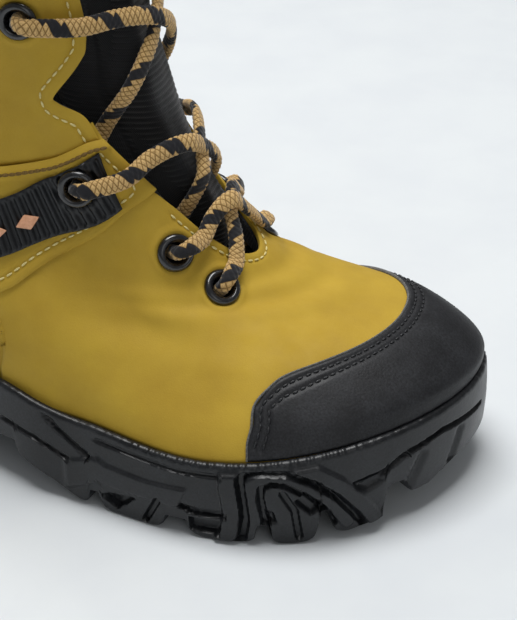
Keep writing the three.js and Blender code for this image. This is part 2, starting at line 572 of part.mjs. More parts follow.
const chain = [['lateral', 4], ['medial', 3], ['lateral', 2], ['medial', 1], ['lateral', 0]];
const OVERPASS = LACE + FIT;
const ROUTE = [];
chain.forEach(([name, level], i) => {
  const site = siteOf(name, level);
  const last = i === chain.length - 1;
  const cross = [turnAt(site, false).reverse(), throughHole(site), turnAt(site, true)].flat();
  ROUTE.push(...(last ? cross.reverse() : cross));
  if (!last) {
    const next = siteOf(...chain[i + 1]);
    ROUTE.push(...strand(site, true, next, i + 1 === chain.length - 1, i % 2 ? OVERPASS : 0));
  }
});
const opposite = { lateral: 'medial', medial: 'lateral' };
const back = [...chain].reverse().map(([name, level]) => [opposite[name], level]);
ROUTE.push(...[0.3, 0.5, 0.7].map((t) => {
  const [p, q] = [siteOf('lateral', 0), siteOf('medial', 0)];
  return place(p.a + (q.a - p.a) * t, p.v, UNDER_STRAND);
}));
back.forEach(([name, level], i) => {
  const site = siteOf(name, level);
  const inward = [turnAt(site, false).reverse(), throughHole(site), turnAt(site, true)].flat();
  ROUTE.push(...(i === 0 ? inward : inward.reverse()));
  if (i < back.length - 1) {
    const next = siteOf(...back[i + 1]);
    ROUTE.push(...strand(site, i === 0, next, true, (back.length - 2 - i) % 2 ? 0 : OVERPASS));
  }
});
add('lace', tube(ROUTE, LACE / 2, 8), COLOURS.tan, 0.9);

// The lace's two free ends hang inside the shaft, from the top eyelets down.
const FREE_END = [[-36, 21.2, 173.7], [-36.4, 21.2, 170], [-39.5, 21.5, 162], [-44, 21.8, 149],
  [-48, 22, 132], [-50, 22.2, 112], [-51, 22.3, 94], [-51, 22.3, 78]];
for (const [name, sign] of [['lateral', -1], ['medial', 1]]) {
  const points = FREE_END.map(([x, y, z]) => new THREE.Vector3(x, sign * y, z));
  add(`lace_end_${name}`, tube(new THREE.CatmullRomCurve3(points).getSpacedPoints(10), LACE / 2, 8),
    COLOURS.tan, 0.9);
  const tip = points[points.length - 1];
  const aglet = new THREE.CylinderGeometry(AGLET.radius, AGLET.radius, AGLET.length, 10);
  aglet.rotateX(Math.PI / 2).translate(tip.x, tip.y, tip.z - FIT - AGLET.length / 2);
  add(`aglet_${name}`, aglet, COLOURS.black, 0.3);
}

// ---------- pull loop at the heel ----------
const backFace = backX(1) - LAYER.overlay[1] - FIT - LOOP.sway;
const loopShape = new THREE.Shape();
const loopHole = new THREE.Path();
for (const [path, inset] of [[loopShape, 0], [loopHole, LOOP.web]]) {
  const [w, h] = [LOOP.depth / 2 - inset, LOOP.height - LOOP.depth];
  path.absarc(0, h, w, 0, Math.PI, false);
  path.absarc(0, 0, w, Math.PI, 2 * Math.PI, false);
}
loopShape.holes.push(loopHole);
const loop = new THREE.ExtrudeGeometry(loopShape, { depth: LOOP.width, bevelEnabled: false,
  curveSegments: 6 });
loop.rotateX(Math.PI / 2);
loop.translate(backFace - LOOP.depth / 2, LOOP.width / 2, backZ(1) - LOOP.below + LOOP.depth / 2);
add('pull_loop', loop, COLOURS.black, 0.85);

// ---------- placing: the origin is under the middle of the boot, on the ground ----------
const box = new THREE.Box3().setFromObject(group, true);
const middle = box.getCenter(new THREE.Vector3());
group.position.set(-middle.x, -middle.y, -box.min.z);
const boot = new THREE.Group();
boot.add(group);

export default boot;
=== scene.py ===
"""Looks of a right mountaineering boot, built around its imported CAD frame.

The upper is a set of leather panels that follow one surface, the last. The sole is one sculpted loft with
lugs. Lengths in the classes are millimetres; meshes are in metres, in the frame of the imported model.
"""

from __future__ import annotations

import json
import logging
import math
import sys
from dataclasses import dataclass, field
from enum import Enum
from typing import Callable, Sequence

import bpy
import numpy as np
from mathutils import Matrix, Vector
from mathutils.kdtree import KDTree

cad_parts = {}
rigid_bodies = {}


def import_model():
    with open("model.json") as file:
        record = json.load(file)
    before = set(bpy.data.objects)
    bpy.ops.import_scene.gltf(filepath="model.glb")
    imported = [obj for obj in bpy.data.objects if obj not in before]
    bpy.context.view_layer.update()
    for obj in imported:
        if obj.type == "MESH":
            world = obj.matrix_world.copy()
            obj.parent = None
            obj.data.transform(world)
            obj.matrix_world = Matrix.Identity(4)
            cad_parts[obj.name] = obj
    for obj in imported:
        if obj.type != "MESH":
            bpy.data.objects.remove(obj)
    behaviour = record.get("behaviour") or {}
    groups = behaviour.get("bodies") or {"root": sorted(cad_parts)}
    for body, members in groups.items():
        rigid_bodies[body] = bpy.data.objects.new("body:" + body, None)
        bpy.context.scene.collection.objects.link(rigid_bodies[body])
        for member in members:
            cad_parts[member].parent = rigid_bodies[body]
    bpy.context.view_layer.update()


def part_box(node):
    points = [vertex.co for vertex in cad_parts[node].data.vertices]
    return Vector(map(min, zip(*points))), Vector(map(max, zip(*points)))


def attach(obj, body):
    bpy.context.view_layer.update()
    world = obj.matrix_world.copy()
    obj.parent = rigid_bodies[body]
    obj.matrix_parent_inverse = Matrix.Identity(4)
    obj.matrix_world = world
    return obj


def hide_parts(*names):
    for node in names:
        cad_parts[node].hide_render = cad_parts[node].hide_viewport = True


MM = 0.001
BOOT, TONGUE, LOOP = "boot", "tongue", "pull_loop"
LOOP_GAP = 3.5  # from the last's heel line to the pull loop
LOG = logging.getLogger("boot")

Row = Sequence[tuple[float, float]]
Array = np.ndarray


class Side(Enum):
    """The two sides of the boot, with the sign of their Y direction."""

    LATERAL = -1
    MEDIAL = 1

    @property
    def word(self) -> str:
        """The side's word in piece names."""
        return self.name.lower()

    def turn(self, a: Array | float) -> Array | float:
        """A lateral turn position, or its mirror image on the medial side."""
        return a if self is Side.LATERAL else 2 - a


# ---------- small tools ----------
def srgb(value: int) -> tuple[float, float, float, float]:
    """Turns an sRGB hex colour to linear.

    Args:
        value: the colour, such as 0xB2902F.

    Returns:
        Linear red, green, blue and an alpha of 1.
    """
    parts = [(value >> shift & 255) / 255 for shift in (16, 8, 0)]
    return tuple(c / 12.92 if c <= 0.04045 else ((c + 0.055) / 1.055) ** 2.4 for c in parts) + (1.0,)


def node(tree: bpy.types.NodeTree, kind: str, links: dict | None = None, **settings) -> bpy.types.Node:
    """Adds a shader node.

    Args:
        tree: the material's node tree.
        kind: the node's type without its ShaderNode prefix.
        links: input name or index to an output socket, or to a plain value.
        settings: the node's own properties.

    Returns:
        The new node.
    """
    made = tree.nodes.new("ShaderNode" + kind)
    for key, value in settings.items():
        setattr(made, key, value)
    for key, value in (links or {}).items():
        if isinstance(value, bpy.types.NodeSocket):
            tree.links.new(value, made.inputs[key])
        else:
            made.inputs[key].default_value = value
    return made


def only(obj: bpy.types.Object) -> None:
    """Deselects everything, then selects obj and makes it active.

    Args:
        obj: the object.
    """
    for other in bpy.context.view_layer.objects:
        if other.select_get():
            other.select_set(False)
    obj.select_set(True)
    bpy.context.view_layer.objects.active = obj


def modify(obj: bpy.types.Object, kind: str, **settings) -> None:
    """Adds a modifier to obj and applies it.

    Args:
        obj: the mesh object.
        kind: the modifier's type.
        settings: its properties.
    """
    only(obj)
    made = obj.modifiers.new(kind.title(), kind)
    for key, value in settings.items():
        setattr(made, key, value)
    bpy.ops.object.modifier_apply(modifier=made.name)


def coords(obj: bpy.types.Object) -> Array:
    """The mesh's vertex positions as an (n, 3) array.

    Args:
        obj: the mesh object.

    Returns:
        The positions, in metres.
    """
    flat = np.empty(len(obj.data.vertices) * 3)
    obj.data.vertices.foreach_get("co", flat)
    return flat.reshape(-1, 3)


def set_coords(obj: bpy.types.Object, points: Array) -> None:
    """Writes the mesh's vertex positions."""
    obj.data.vertices.foreach_set("co", np.ascontiguousarray(points, dtype=np.float32).ravel())
    obj.data.update()


def edit(obj: bpy.types.Object, *steps: Callable[[], object]) -> None:
    """Runs edit-mode operators on the whole mesh.

    Args:
        obj: the mesh object.
        steps: calls to make with everything selected.
    """
    only(obj)
    bpy.ops.object.mode_set(mode="EDIT")
    bpy.ops.mesh.select_all(action="SELECT")
    for step in steps:
        step()
    bpy.ops.object.mode_set(mode="OBJECT")


def lay_grid(name: str, points: Array, uv: Array | None = None, weld: bool = False) -> bpy.types.Object:
    """Lays a grid primitive over rows of points.

    Args:
        name: the piece's name.
        points: (rows, columns, 3) positions in metres.
        uv: (rows, columns, 2) texture positions, or None for the grid's own.
        weld: merges edges that meet, for tubes and closed lofts.

    Returns:
        The new object, with outward normals where it is closed.
    """
    rows, columns = points.shape[:2]
    bpy.ops.object.select_all(action="DESELECT")
    bpy.ops.mesh.primitive_grid_add(x_subdivisions=columns - 1, y_subdivisions=rows - 1, size=1)
    obj = bpy.context.object
    obj.name = obj.data.name = name
    flat = coords(obj)
    i = np.rint((flat[:, 0] + 0.5) * (columns - 1)).astype(int)
    j = np.rint((flat[:, 1] + 0.5) * (rows - 1)).astype(int)
    set_coords(obj, points[j, i])
    if uv is not None:
        corner = np.empty(len(obj.data.loops), dtype=int)
        obj.data.loops.foreach_get("vertex_index", corner)
        layer = obj.data.uv_layers.active
        layer.data.foreach_set("uv", uv[j, i][corner].astype(np.float32).ravel())
    if weld:
        edit(obj, lambda: bpy.ops.mesh.remove_doubles(threshold=1e-6),
             lambda: bpy.ops.mesh.normals_make_consistent(inside=False))
    return obj


def smooth(obj: bpy.types.Object, degrees: float = 40) -> None:
    """Shades obj smooth, with its sharp edges kept."""
    only(obj)
    bpy.ops.object.shade_smooth_by_angle(angle=math.radians(degrees))


def join(name: str, parts: Sequence[bpy.types.Object]) -> bpy.types.Object:
    """Joins parts into one object.

    Args:
        name: the joined piece's name.
        parts: the objects, which are used up.

    Returns:
        The joined object.
    """
    bpy.ops.object.select_all(action="DESELECT")
    for part in parts:
        part.select_set(True)
    bpy.context.view_layer.objects.active = parts[0]
    if len(parts) > 1:
        bpy.ops.object.join()
    parts[0].name = parts[0].data.name = name
    return parts[0]


def copies(obj: bpy.types.Object, places: Sequence[Matrix]) -> list[bpy.types.Object]:
    """Copies a model, each copy with its own mesh, and removes the model.

    Args:
        obj: the model, made about the origin.
        places: where each copy goes.

    Returns:
        The copies.
    """
    made = []
    for place in places:
        twin = obj.copy()
        twin.data = obj.data.copy()
        twin.data.transform(place)
        bpy.context.scene.collection.objects.link(twin)
        made.append(twin)
    bpy.data.objects.remove(obj)
    return made


def basis(x: Array, z: Array, at: Array) -> Matrix:
    """A placing matrix.

    Args:
        x: where its X axis points.
        z: where its Z axis roughly points.
        at: its place in metres.

    Returns:
        The matrix.
    """
    x = Vector(x).normalized()
    y = Vector(z).cross(x).normalized()
    z = x.cross(y)
    made = Matrix((x, y, z)).transposed().to_4x4()
    made.translation = Vector(at)
    return made


def blur(t: Array) -> Array:
    """An ease from 0 to 1 as t goes from 0 to 1."""
    t = np.clip(t, 0, 1)
    return t * t * (3 - 2 * t)


def hump(distance: Array, half: float, soft: float) -> Array:
    """1 within half of a line, falling to 0 over soft."""
    return 1 - blur((distance - half) / soft)


def to_segments(points: Array, path: Array) -> Array:
    """Distance of each 2-D point to a path of straight segments.

    Args:
        points: (n, 2) points.
        path: (m, 2) corners of the path.

    Returns:
        (n,) distances.
    """
    best = np.full(len(points), 1e9)
    for start, end in zip(path[:-1], path[1:]):
        run = end - start
        t = np.clip(((points - start) @ run) / (run @ run), 0, 1)
        best = np.minimum(best, np.linalg.norm(points - start - t[:, None] * run, axis=1))
    return best


def inside(points: Array, outline: Array) -> Array:
    """Whether each 2-D point lies within a closed outline.

    Args:
        points: (n, 2) points.
        outline: its corners.

    Returns:
        A truth value for each point.
    """
    found = np.zeros(len(points), dtype=bool)
    for (x0, y0), (x1, y1) in zip(outline, np.roll(outline, -1, axis=0)):
        if y0 != y1:
            crosses = (points[:, 1] < y0) != (points[:, 1] < y1)
            found ^= crosses & (points[:, 0] < (x1 - x0) * (points[:, 1] - y0) / (y1 - y0) + x0)
    return found


def through(knots: Array, count: int) -> Array:
    """Points on a smooth line through knots, spaced by knot number.

    Args:
        knots: (m, k) knots.
        count: how many points.

    Returns:
        (count, k) points.
    """
    knots = np.asarray(knots, dtype=float)
    ends = np.vstack([2 * knots[0] - knots[1], knots, 2 * knots[-1] - knots[-2]])
    t = np.linspace(0, len(knots) - 1, count)
    i = np.minimum(t.astype(int), len(knots) - 2)
    f = (t - i)[:, None]
    p0, p1, p2, p3 = (ends[i + k] for k in range(4))
    return 0.5 * (2 * p1 + (p2 - p0) * f + (2 * p0 - 5 * p1 + 4 * p2 - p3) * f**2
                  + (3 * p1 - p0 - 3 * p2 + p3) * f**3)


def run_of(line: Array) -> Array:
    """The distance along a line at each of its points."""
    return np.r_[0, np.cumsum(np.linalg.norm(np.diff(line, axis=0), axis=1))]


def spline(knots: Array, count: int) -> Array:
    """Points on the same smooth line, evenly spread along it.

    Args:
        knots: (m, k) knots.
        count: how many points.

    Returns:
        (count, k) points.
    """
    fine = through(knots, 24 * len(knots))
    run = run_of(fine)
    want = np.linspace(0, run[-1], count)
    return np.stack([np.interp(want, run, fine[:, k]) for k in range(fine.shape[1])], axis=1)


def curve(*knots: tuple[float, float]) -> Callable[[Array], Array]:
    """A curve through knots that never overshoots them.

    Args:
        knots: (position, value) pairs.

    Returns:
        A function of position.
    """
    x, y = np.array(knots, dtype=float).T
    slope = np.diff(y) / np.diff(x)
    a, b = np.r_[slope[0], slope], np.r_[slope, slope[-1]]
    with np.errstate(divide="ignore", invalid="ignore"):
        tangent = np.where(a * b <= 0, 0, 2 * a * b / np.where(a + b == 0, 1, a + b))

    def value(at: Array) -> Array:
        """The curve's value, with straight ends."""
        at = np.asarray(at, dtype=float)
        i = np.clip(np.searchsorted(x, at, side="right") - 1, 0, len(x) - 2)
        h = x[i + 1] - x[i]
        t = np.clip((at - x[i]) / h, 0, 1)
        s = 1 - t
        within = (y[i] * (1 + 2 * t) * s * s + y[i + 1] * (3 - 2 * t) * t * t
                  + h * s * t * (tangent[i] * s - tangent[i + 1] * t))
        return (within + tangent[0] * np.minimum(at - x[0], 0)
                + tangent[-1] * np.maximum(at - x[-1], 0))

    return value


# ---------- the last ----------
@dataclass
class Last:
    """The upper's outer face. A point is named by its turn position a (0 heel, 1 toe, 0 to 1 lateral, 1 to 2
    medial) and its height fraction v (0 feather line, 1 collar).

    Args:
        shift: from the last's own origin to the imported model's, in millimetres.
    """

    shift: Array
    toe_x: float = 110
    heel_x: float = -112
    collar_z: float = 190
    collar_drop: float = 6
    ball_lateral: float = 58
    ball_medial: float = 39
    heel_half: float = 31
    toe_swing: float = 13
    toe_power: float = 2.5
    ball_dip: float = 7
    level_below: float = 0.1

    def __post_init__(self) -> None:
        """Makes the curves over the height."""
        t, h, c, d = self.toe_x, self.heel_x, self.collar_z, self.collar_drop
        self.front_x = curve((0, t), (0.1, t + 1), (0.2, t - 14), (0.32, t - 42), (0.44, t - 67),
                             (0.56, t - 82), (0.7, t - 101), (0.85, t - 112), (1, t - 120))
        self.front_z = curve((0, 37), (0.1, 43), (0.2, 54), (0.32, 60), (0.44, 68), (0.56, 84), (0.7, c - 72),
                             (0.85, c - 34), (1, c))
        self.back_x = curve((0, h), (0.1, h - 2), (0.2, h - 1), (0.44, h + 5), (0.7, h + 8), (0.85, h + 7),
                            (1, h + 3))
        self.back_z = curve((0, 32), (0.2, 60), (0.44, 94), (0.7, c - 56 - d / 6), (0.85, c - 25 - d / 2),
                            (1, c - d))
        k, bl, bm = self.heel_half, self.ball_lateral, self.ball_medial
        self.heel = curve((0, k), (0.1, k + 2), (0.2, k + 2), (0.44, k - 2), (0.7, k - 3), (1, k + 1))
        self.waist = (curve((0, bl - 8), (0.2, bl - 11), (0.44, 40), (0.7, 35), (1, 35)),
                      curve((0, bm - 9), (0.32, 33), (1, 34)))
        self.ball = (curve((0, bl), (0.1, bl - 5), (0.2, bl - 15), (0.32, 36), (0.56, 31), (0.7, 30),
                           (1, 32)),
                     curve((0, bm), (0.1, bm - 1), (0.2, bm - 3), (0.32, 33), (0.56, 30), (0.7, 30),
                           (1, 32)))
        self.toe_start = curve((0, 0.7), (0.32, 0.69), (0.44, 0.65), (1, 0.65))
        self.heel_end = curve((0, 0.15), (0.2, 0.16), (0.44, 0.22), (0.7, 0.33), (1, 0.36))
        w = self.toe_swing
        self.swing = curve((0, w), (0.2, w * 0.85), (0.44, w * 0.5), (0.7, w * 0.12), (1, 0))

    def skin(self, a: Array, v: Array) -> Array:
        """Points of the outer face, in the last's own millimetres.

        Args:
            a: turn positions.
            v: height fractions.

        Returns:
            (..., 3) positions.
        """
        a, v = np.broadcast_arrays(np.asarray(a, dtype=float), np.asarray(v, dtype=float))
        s = (1 - np.cos(a * math.pi)) / 2
        medial = np.mod(a, 2) > 1

        def half(waist: Callable, ball: Callable, knee: float, end: float) -> Array:
            """Half the width on one side, from the waist's and the ball's curves."""
            wide = self.heel(v) + (waist(v) - self.heel(v)) * blur((s - 0.14) / 0.28)
            wide = wide + (ball(v) - waist(v)) * blur((s - 0.42) / (knee - 0.42))
            return wide * (1 - (1 - end) * np.clip((s - knee) / (1 - knee), 0, 1) ** 2)

        width = np.where(medial, half(self.waist[1], self.ball[1], 0.74, 0.98),
                         half(self.waist[0], self.ball[0], 0.68, 0.86))
        heel_cap = np.sqrt(1 - (1 - np.clip(s / self.heel_end(v), 0, 1)) ** 2)
        start = self.toe_start(v)
        toe_cap = np.sqrt(1 - np.clip((s - start) / (1 - start), 0, 1) ** self.toe_power)
        x = self.back_x(v) + (self.front_x(v) - self.back_x(v)) * s
        y = (np.where(medial, 1, -1) * width * heel_cap * toe_cap
             + self.swing(v) * np.clip((s - 0.5) / 0.5, 0, 1) ** 2)
        dip = self.ball_dip * np.exp(-(((s - 0.66) / 0.2) ** 2)) * (1 - np.clip(v, 0, 1)) ** 3
        z = self.back_z(v) + (self.front_z(v) - self.back_z(v)) * s - dip
        return np.stack([x, y, z], axis=-1)

    def outward(self, a: Array, v: Array) -> Array:
        """Unit normals of the outer face, level at the feather line.

        Args:
            a, v: turn positions and height fractions.

        Returns:
            (..., 3) directions.
        """
        step = 0.004
        a, v = np.asarray(a, dtype=float), np.asarray(v, dtype=float)
        across = self.skin(a + step, v) - self.skin(a - step, v)
        up = self.skin(a, v + step) - self.skin(a, v - step)
        normal = np.cross(across, up)
        normal /= np.linalg.norm(normal, axis=-1, keepdims=True)
        normal[..., 2] *= blur(v / self.level_below)
        return normal / np.linalg.norm(normal, axis=-1, keepdims=True)

    def place(self, a: Array, v: Array, offset: Array | float = 0.0) -> Array:
        """Points off the outer face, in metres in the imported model's frame.

        Args:
            a: turn positions.
            v: height fractions.
            offset: millimetres outwards.

        Returns:
            (..., 3) positions.
        """
        a, v = np.broadcast_arrays(np.asarray(a, dtype=float), np.asarray(v, dtype=float))
        out = self.outward(a, v) * np.asarray(offset, dtype=float)[..., None]
        return (self.skin(a, v) + out + self.shift) * MM

    def seat(self, points: Array) -> Array:
        """The last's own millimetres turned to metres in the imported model's frame."""
        return (np.asarray(points, dtype=float) + self.shift) * MM

    def rim(self, a: Array, offset: Array | float) -> Array:
        """The feather line moved outwards in plan.

        Args:
            a: turn positions.
            offset: millimetres outwards.

        Returns:
            Points in the last's own millimetres.
        """
        step = 0.004
        run = self.skin(np.asarray(a) + step, 0) - self.skin(np.asarray(a) - step, 0)
        normal = np.stack([run[..., 1], -run[..., 0], np.zeros_like(run[..., 0])], axis=-1)
        normal /= np.linalg.norm(normal, axis=-1, keepdims=True)
        return self.skin(a, 0) + normal * np.asarray(offset, dtype=float)[..., None]

    def inset(self, path: Array, distance: float) -> Array:
        """A path moved sideways over the surface.

        Args:
            path: (n, 2) turn positions and heights.
            distance: millimetres to the left of the path, seen from outside.

        Returns:
            (n, 2) turn positions and heights.
        """
        a, v = path.T
        step = 0.003
        along = np.gradient(self.skin(a, v), axis=0)
        normal = self.outward(a, v)
        left = np.cross(normal, along)
        left *= distance / np.linalg.norm(left, axis=-1, keepdims=True)
        by_a = (self.skin(a + step, v) - self.skin(a - step, v)) / (2 * step)
        by_v = (self.skin(a, v + step) - self.skin(a, v - step)) / (2 * step)
        moved = [np.linalg.lstsq(np.stack([p, q], axis=1), m, rcond=None)[0]
                 for p, q, m in zip(by_a, by_v, left)]
        return path + np.array(moved)


def seat_of_last() -> Last:
    """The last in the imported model's frame: the pull loop's place gives the shift.

    Returns:
        The last.
    """
    low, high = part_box("pull_loop")
    last = Last(np.zeros(3))
    back = float(last.back_x(np.array(1.0))) - LOOP_GAP
    last.shift = np.array([high.x / MM - back, (low.y + high.y) / 2 / MM, 0.0])
    return last


# ---------- outlines on the last, as (a, v) ----------
REAR = ((0.37, 0, 0), (0.39, 0.18, 0.09), (0.425, 0.35, 0.2), (0.55, 0.505, 0.33), (0.69, 0.617, 0.44),
        (0.775, 0.652, 0.52), (0.765, 0.687, 0.56), (0.745, 0.715, 0.6), (0.73, 0.741, 0.63),
        (0.682, 0.757, 0.66), (0.68, 0.768, 0.69), (0.755, 0.812, 0.75), (0.783, 0.835, 0.79),
        (0.8, 0.885, 0.86), (0.8, 1, 1))
SEAM = 7
THROAT = ((0.84, 0.614), (0.885, 0.555), (0.93, 0.515), (1, 0.5))
VAMP_REAR = ((0.402, 0.17), (0.436, 0.342), (0.563, 0.497), (0.7, 0.608), (0.785, 0.645))
CAP_EDGE = ((0.654, 0.01), (0.649, 0.063), (0.658, 0.141), (0.689, 0.178), (0.724, 0.202), (0.785, 0.221),
            (0.864, 0.237), (0.93, 0.246), (1, 0.25))
STRAP_LOW = ((0.215, 0.2), (0.33, 0.25), (0.437, 0.333), (0.558, 0.483), (0.703, 0.596), (0.82, 0.64))
STRAP_HIGH = ((0.215, 0.6), (0.36, 0.612), (0.511, 0.642), (0.62, 0.672), (0.71, 0.704), (0.755, 0.712))
PLATE_LOW = ((0.225, 0.26), (0.34, 0.34), (0.464, 0.443), (0.571, 0.536), (0.726, 0.616))
PLATE_HIGH = ((0.225, 0.47), (0.36, 0.53), (0.493, 0.585), (0.597, 0.641), (0.733, 0.694))
EYELETS = ((0.81, 0.446), (0.777, 0.539), (0.659, 0.64), (0.647, 0.873), (0.66, 0.955))
STRAP_LEVEL = 2


def mirrored(row: Row) -> list[tuple[float, float]]:
    """The row on the other side, in reverse."""
    return [(2 - a, v) for a, v in row][::-1]


def both(row: Row) -> list[tuple[float, float]]:
    """A row that ends at the toe's middle, carried on round the other side."""
    return [*row, *mirrored(row)[1:]]


# ---------- finishes ----------
@dataclass(frozen=True)
class Finish:
    """A material's name and what all finishes share."""

    name: str

    def start(self, roughness: float, metallic: float = 0.0, **sockets: float | tuple
              ) -> tuple[bpy.types.Material, bpy.types.NodeTree, bpy.types.Node]:
        """Makes the material with its shader.

        Args:
            roughness: the shader's roughness.
            metallic: 1 for a bare metal.
            sockets: other shader inputs, with underscores for spaces.

        Returns:
            The material, its node tree and its Principled node.
        """
        made = bpy.data.materials.new(self.name)
        made.use_nodes = True
        tree = made.node_tree
        tree.nodes.clear()
        shader = node(tree, "BsdfPrincipled", {"Roughness": roughness, "Metallic": metallic})
        for key, value in sockets.items():
            shader.inputs[key.replace("_", " ")].default_value = value
        node(tree, "OutputMaterial", {"Surface": shader.outputs[0]})
        return made, tree, shader

    def wire(self, shader: bpy.types.Node, colour: bpy.types.Node, bump: bpy.types.Node,
             rough: bpy.types.Node | None = None) -> None:
        """Links a pattern's colour, bump and roughness to the shader.

        Args:
            shader: the Principled node.
            colour: a Mix node of colours.
            bump: a Bump node.
            rough: a node whose first output is the roughness, or None for one value all over.
        """
        links = shader.id_data.links
        links.new(colour.outputs[2], shader.inputs["Base Color"])
        if rough is not None:
            links.new(rough.outputs[0], shader.inputs["Roughness"])
        links.new(bump.outputs[0], shader.inputs["Normal"])


@dataclass(frozen=True)
class Nubuck(Finish):
    """Waxed nubuck: cowhide sanded on its grain side, with a short nap, a cloudy tone and no gloss."""

    light: int = 0xBC9C35
    dark: int = 0xA9892C
    cloud_mm: float = 28
    nap_mm: float = 0.5

    def build(self) -> bpy.types.Material:
        """Builds the material.

        Returns:
            The material.
        """
        made, tree, shader = self.start(0.72, Sheen_Weight=0.12, Sheen_Roughness=0.45,
                                        Specular_IOR_Level=0.25, Sheen_Tint=srgb(0xFFE9A0))
        place = node(tree, "TexCoord").outputs["Object"]
        cloud = node(tree, "TexNoise", {"Vector": place, "Scale": 1 / (self.cloud_mm * MM), "Detail": 5.0,
                                        "Roughness": 0.55})
        nap = node(tree, "TexNoise", {"Vector": place, "Scale": 1 / (self.nap_mm * MM), "Detail": 3.0,
                                      "Roughness": 0.7})
        fold = node(tree, "TexNoise", {"Vector": place, "Scale": 1 / (6 * MM), "Detail": 4.0})
        tone = node(tree, "MapRange", {0: cloud.outputs[0], 1: 0.3, 2: 0.7})
        fine = node(tree, "Math", {0: nap.outputs[0], 1: -0.5}, operation="ADD")
        fine = node(tree, "Math", {0: fine.outputs[0], 1: 0.5, 2: tone.outputs[0]}, operation="MULTIPLY_ADD")
        colour = node(tree, "Mix", {0: fine.outputs[0], 6: srgb(self.dark), 7: srgb(self.light)},
                      data_type="RGBA")
        rough = node(tree, "MapRange", {0: fold.outputs[0], 1: 0.3, 2: 0.7, 3: 0.62, 4: 0.8})
        height = node(tree, "Math", {0: fold.outputs[0], 1: 0.4, 2: nap.outputs[0]}, operation="MULTIPLY_ADD")
        bump = node(tree, "Bump", {"Height": height.outputs[0], "Strength": 0.35, "Distance": 0.25 * MM})
        self.wire(shader, colour, bump, rough)
        return made


@dataclass(frozen=True)
class Grain(Finish):
    """A dark surface with a fine cellular grain, such as smooth leather or moulded rubber."""

    base: int = 0x1C1D20
    worn: int = 0x303236
    grain_mm: float = 0.9
    depth_mm: float = 0.12
    roughness: float = 0.48
    coat: float = 0.0

    def build(self) -> bpy.types.Material:
        """Builds the material.

        Returns:
            The material.
        """
        made, tree, shader = self.start(self.roughness, Specular_IOR_Level=0.35, Coat_Weight=self.coat,
                                        Coat_Roughness=0.25)
        place = node(tree, "TexCoord").outputs["Object"]
        cell = node(tree, "TexVoronoi", {"Vector": place, "Scale": 1 / (self.grain_mm * MM)},
                    feature="SMOOTH_F1")
        cloud = node(tree, "TexNoise", {"Vector": place, "Scale": 1 / (14 * MM), "Detail": 6.0,
                                        "Roughness": 0.65})
        speck = node(tree, "TexNoise", {"Vector": place, "Scale": 1 / (0.7 * MM), "Detail": 2.0})
        dust = node(tree, "Math", {0: cloud.outputs[0], 1: speck.outputs[0]}, operation="MULTIPLY")
        share = node(tree, "MapRange", {0: dust.outputs[0], 1: 0.16, 2: 0.42})
        colour = node(tree, "Mix", {0: share.outputs[0], 6: srgb(self.base), 7: srgb(self.worn)},
                      data_type="RGBA")
        rough = node(tree, "MapRange", {0: cloud.outputs[0], 1: 0.3, 2: 0.7, 3: self.roughness - 0.07,
                                        4: self.roughness + 0.1})
        height = node(tree, "Math", {0: speck.outputs[0], 1: 0.5, 2: cell.outputs[0]},
                      operation="MULTIPLY_ADD")
        bump = node(tree, "Bump", {"Height": height.outputs[0], "Strength": 0.5,
                                   "Distance": self.depth_mm * MM})
        self.wire(shader, colour, bump, rough)
        return made


@dataclass(frozen=True)
class Woven(Finish):
    """Woven polyester on the piece's own UV map, in metres: crossing threads with a soft sheen."""

    base: int = 0x0E0F12
    thread: int = 0x24262B
    pitch_mm: float = 0.8
    roughness: float = 0.85

    def build(self) -> bpy.types.Material:
        """Builds the material.

        Returns:
            The material.
        """
        made, tree, shader = self.start(self.roughness, Sheen_Weight=0.3, Sheen_Roughness=0.5,
                                        Specular_IOR_Level=0.25)
        split = node(tree, "SeparateXYZ", {0: node(tree, "TexCoord").outputs["UV"]})
        turns = 2 * math.pi / (self.pitch_mm * MM)
        waves = []
        for axis in (0, 1):
            phase = node(tree, "Math", {0: split.outputs[axis], 1: turns}, operation="MULTIPLY")
            waves.append(node(tree, "Math", {0: phase.outputs[0]}, operation="SINE"))
        weave = node(tree, "Math", {0: waves[0].outputs[0], 1: waves[1].outputs[0]}, operation="MULTIPLY")
        place = node(tree, "TexCoord").outputs["Object"]
        cloud = node(tree, "TexNoise", {"Vector": place, "Scale": 1 / (9 * MM), "Detail": 4.0})
        mixed = node(tree, "Math", {0: weave.outputs[0], 1: 0.3, 2: cloud.outputs[0]},
                     operation="MULTIPLY_ADD")
        share = node(tree, "MapRange", {0: mixed.outputs[0], 1: 0.2, 2: 0.9})
        colour = node(tree, "Mix", {0: share.outputs[0], 6: srgb(self.base), 7: srgb(self.thread)},
                      data_type="RGBA")
        bump = node(tree, "Bump", {"Height": weave.outputs[0], "Strength": 0.6, "Distance": 0.12 * MM})
        self.wire(shader, colour, bump)
        return made


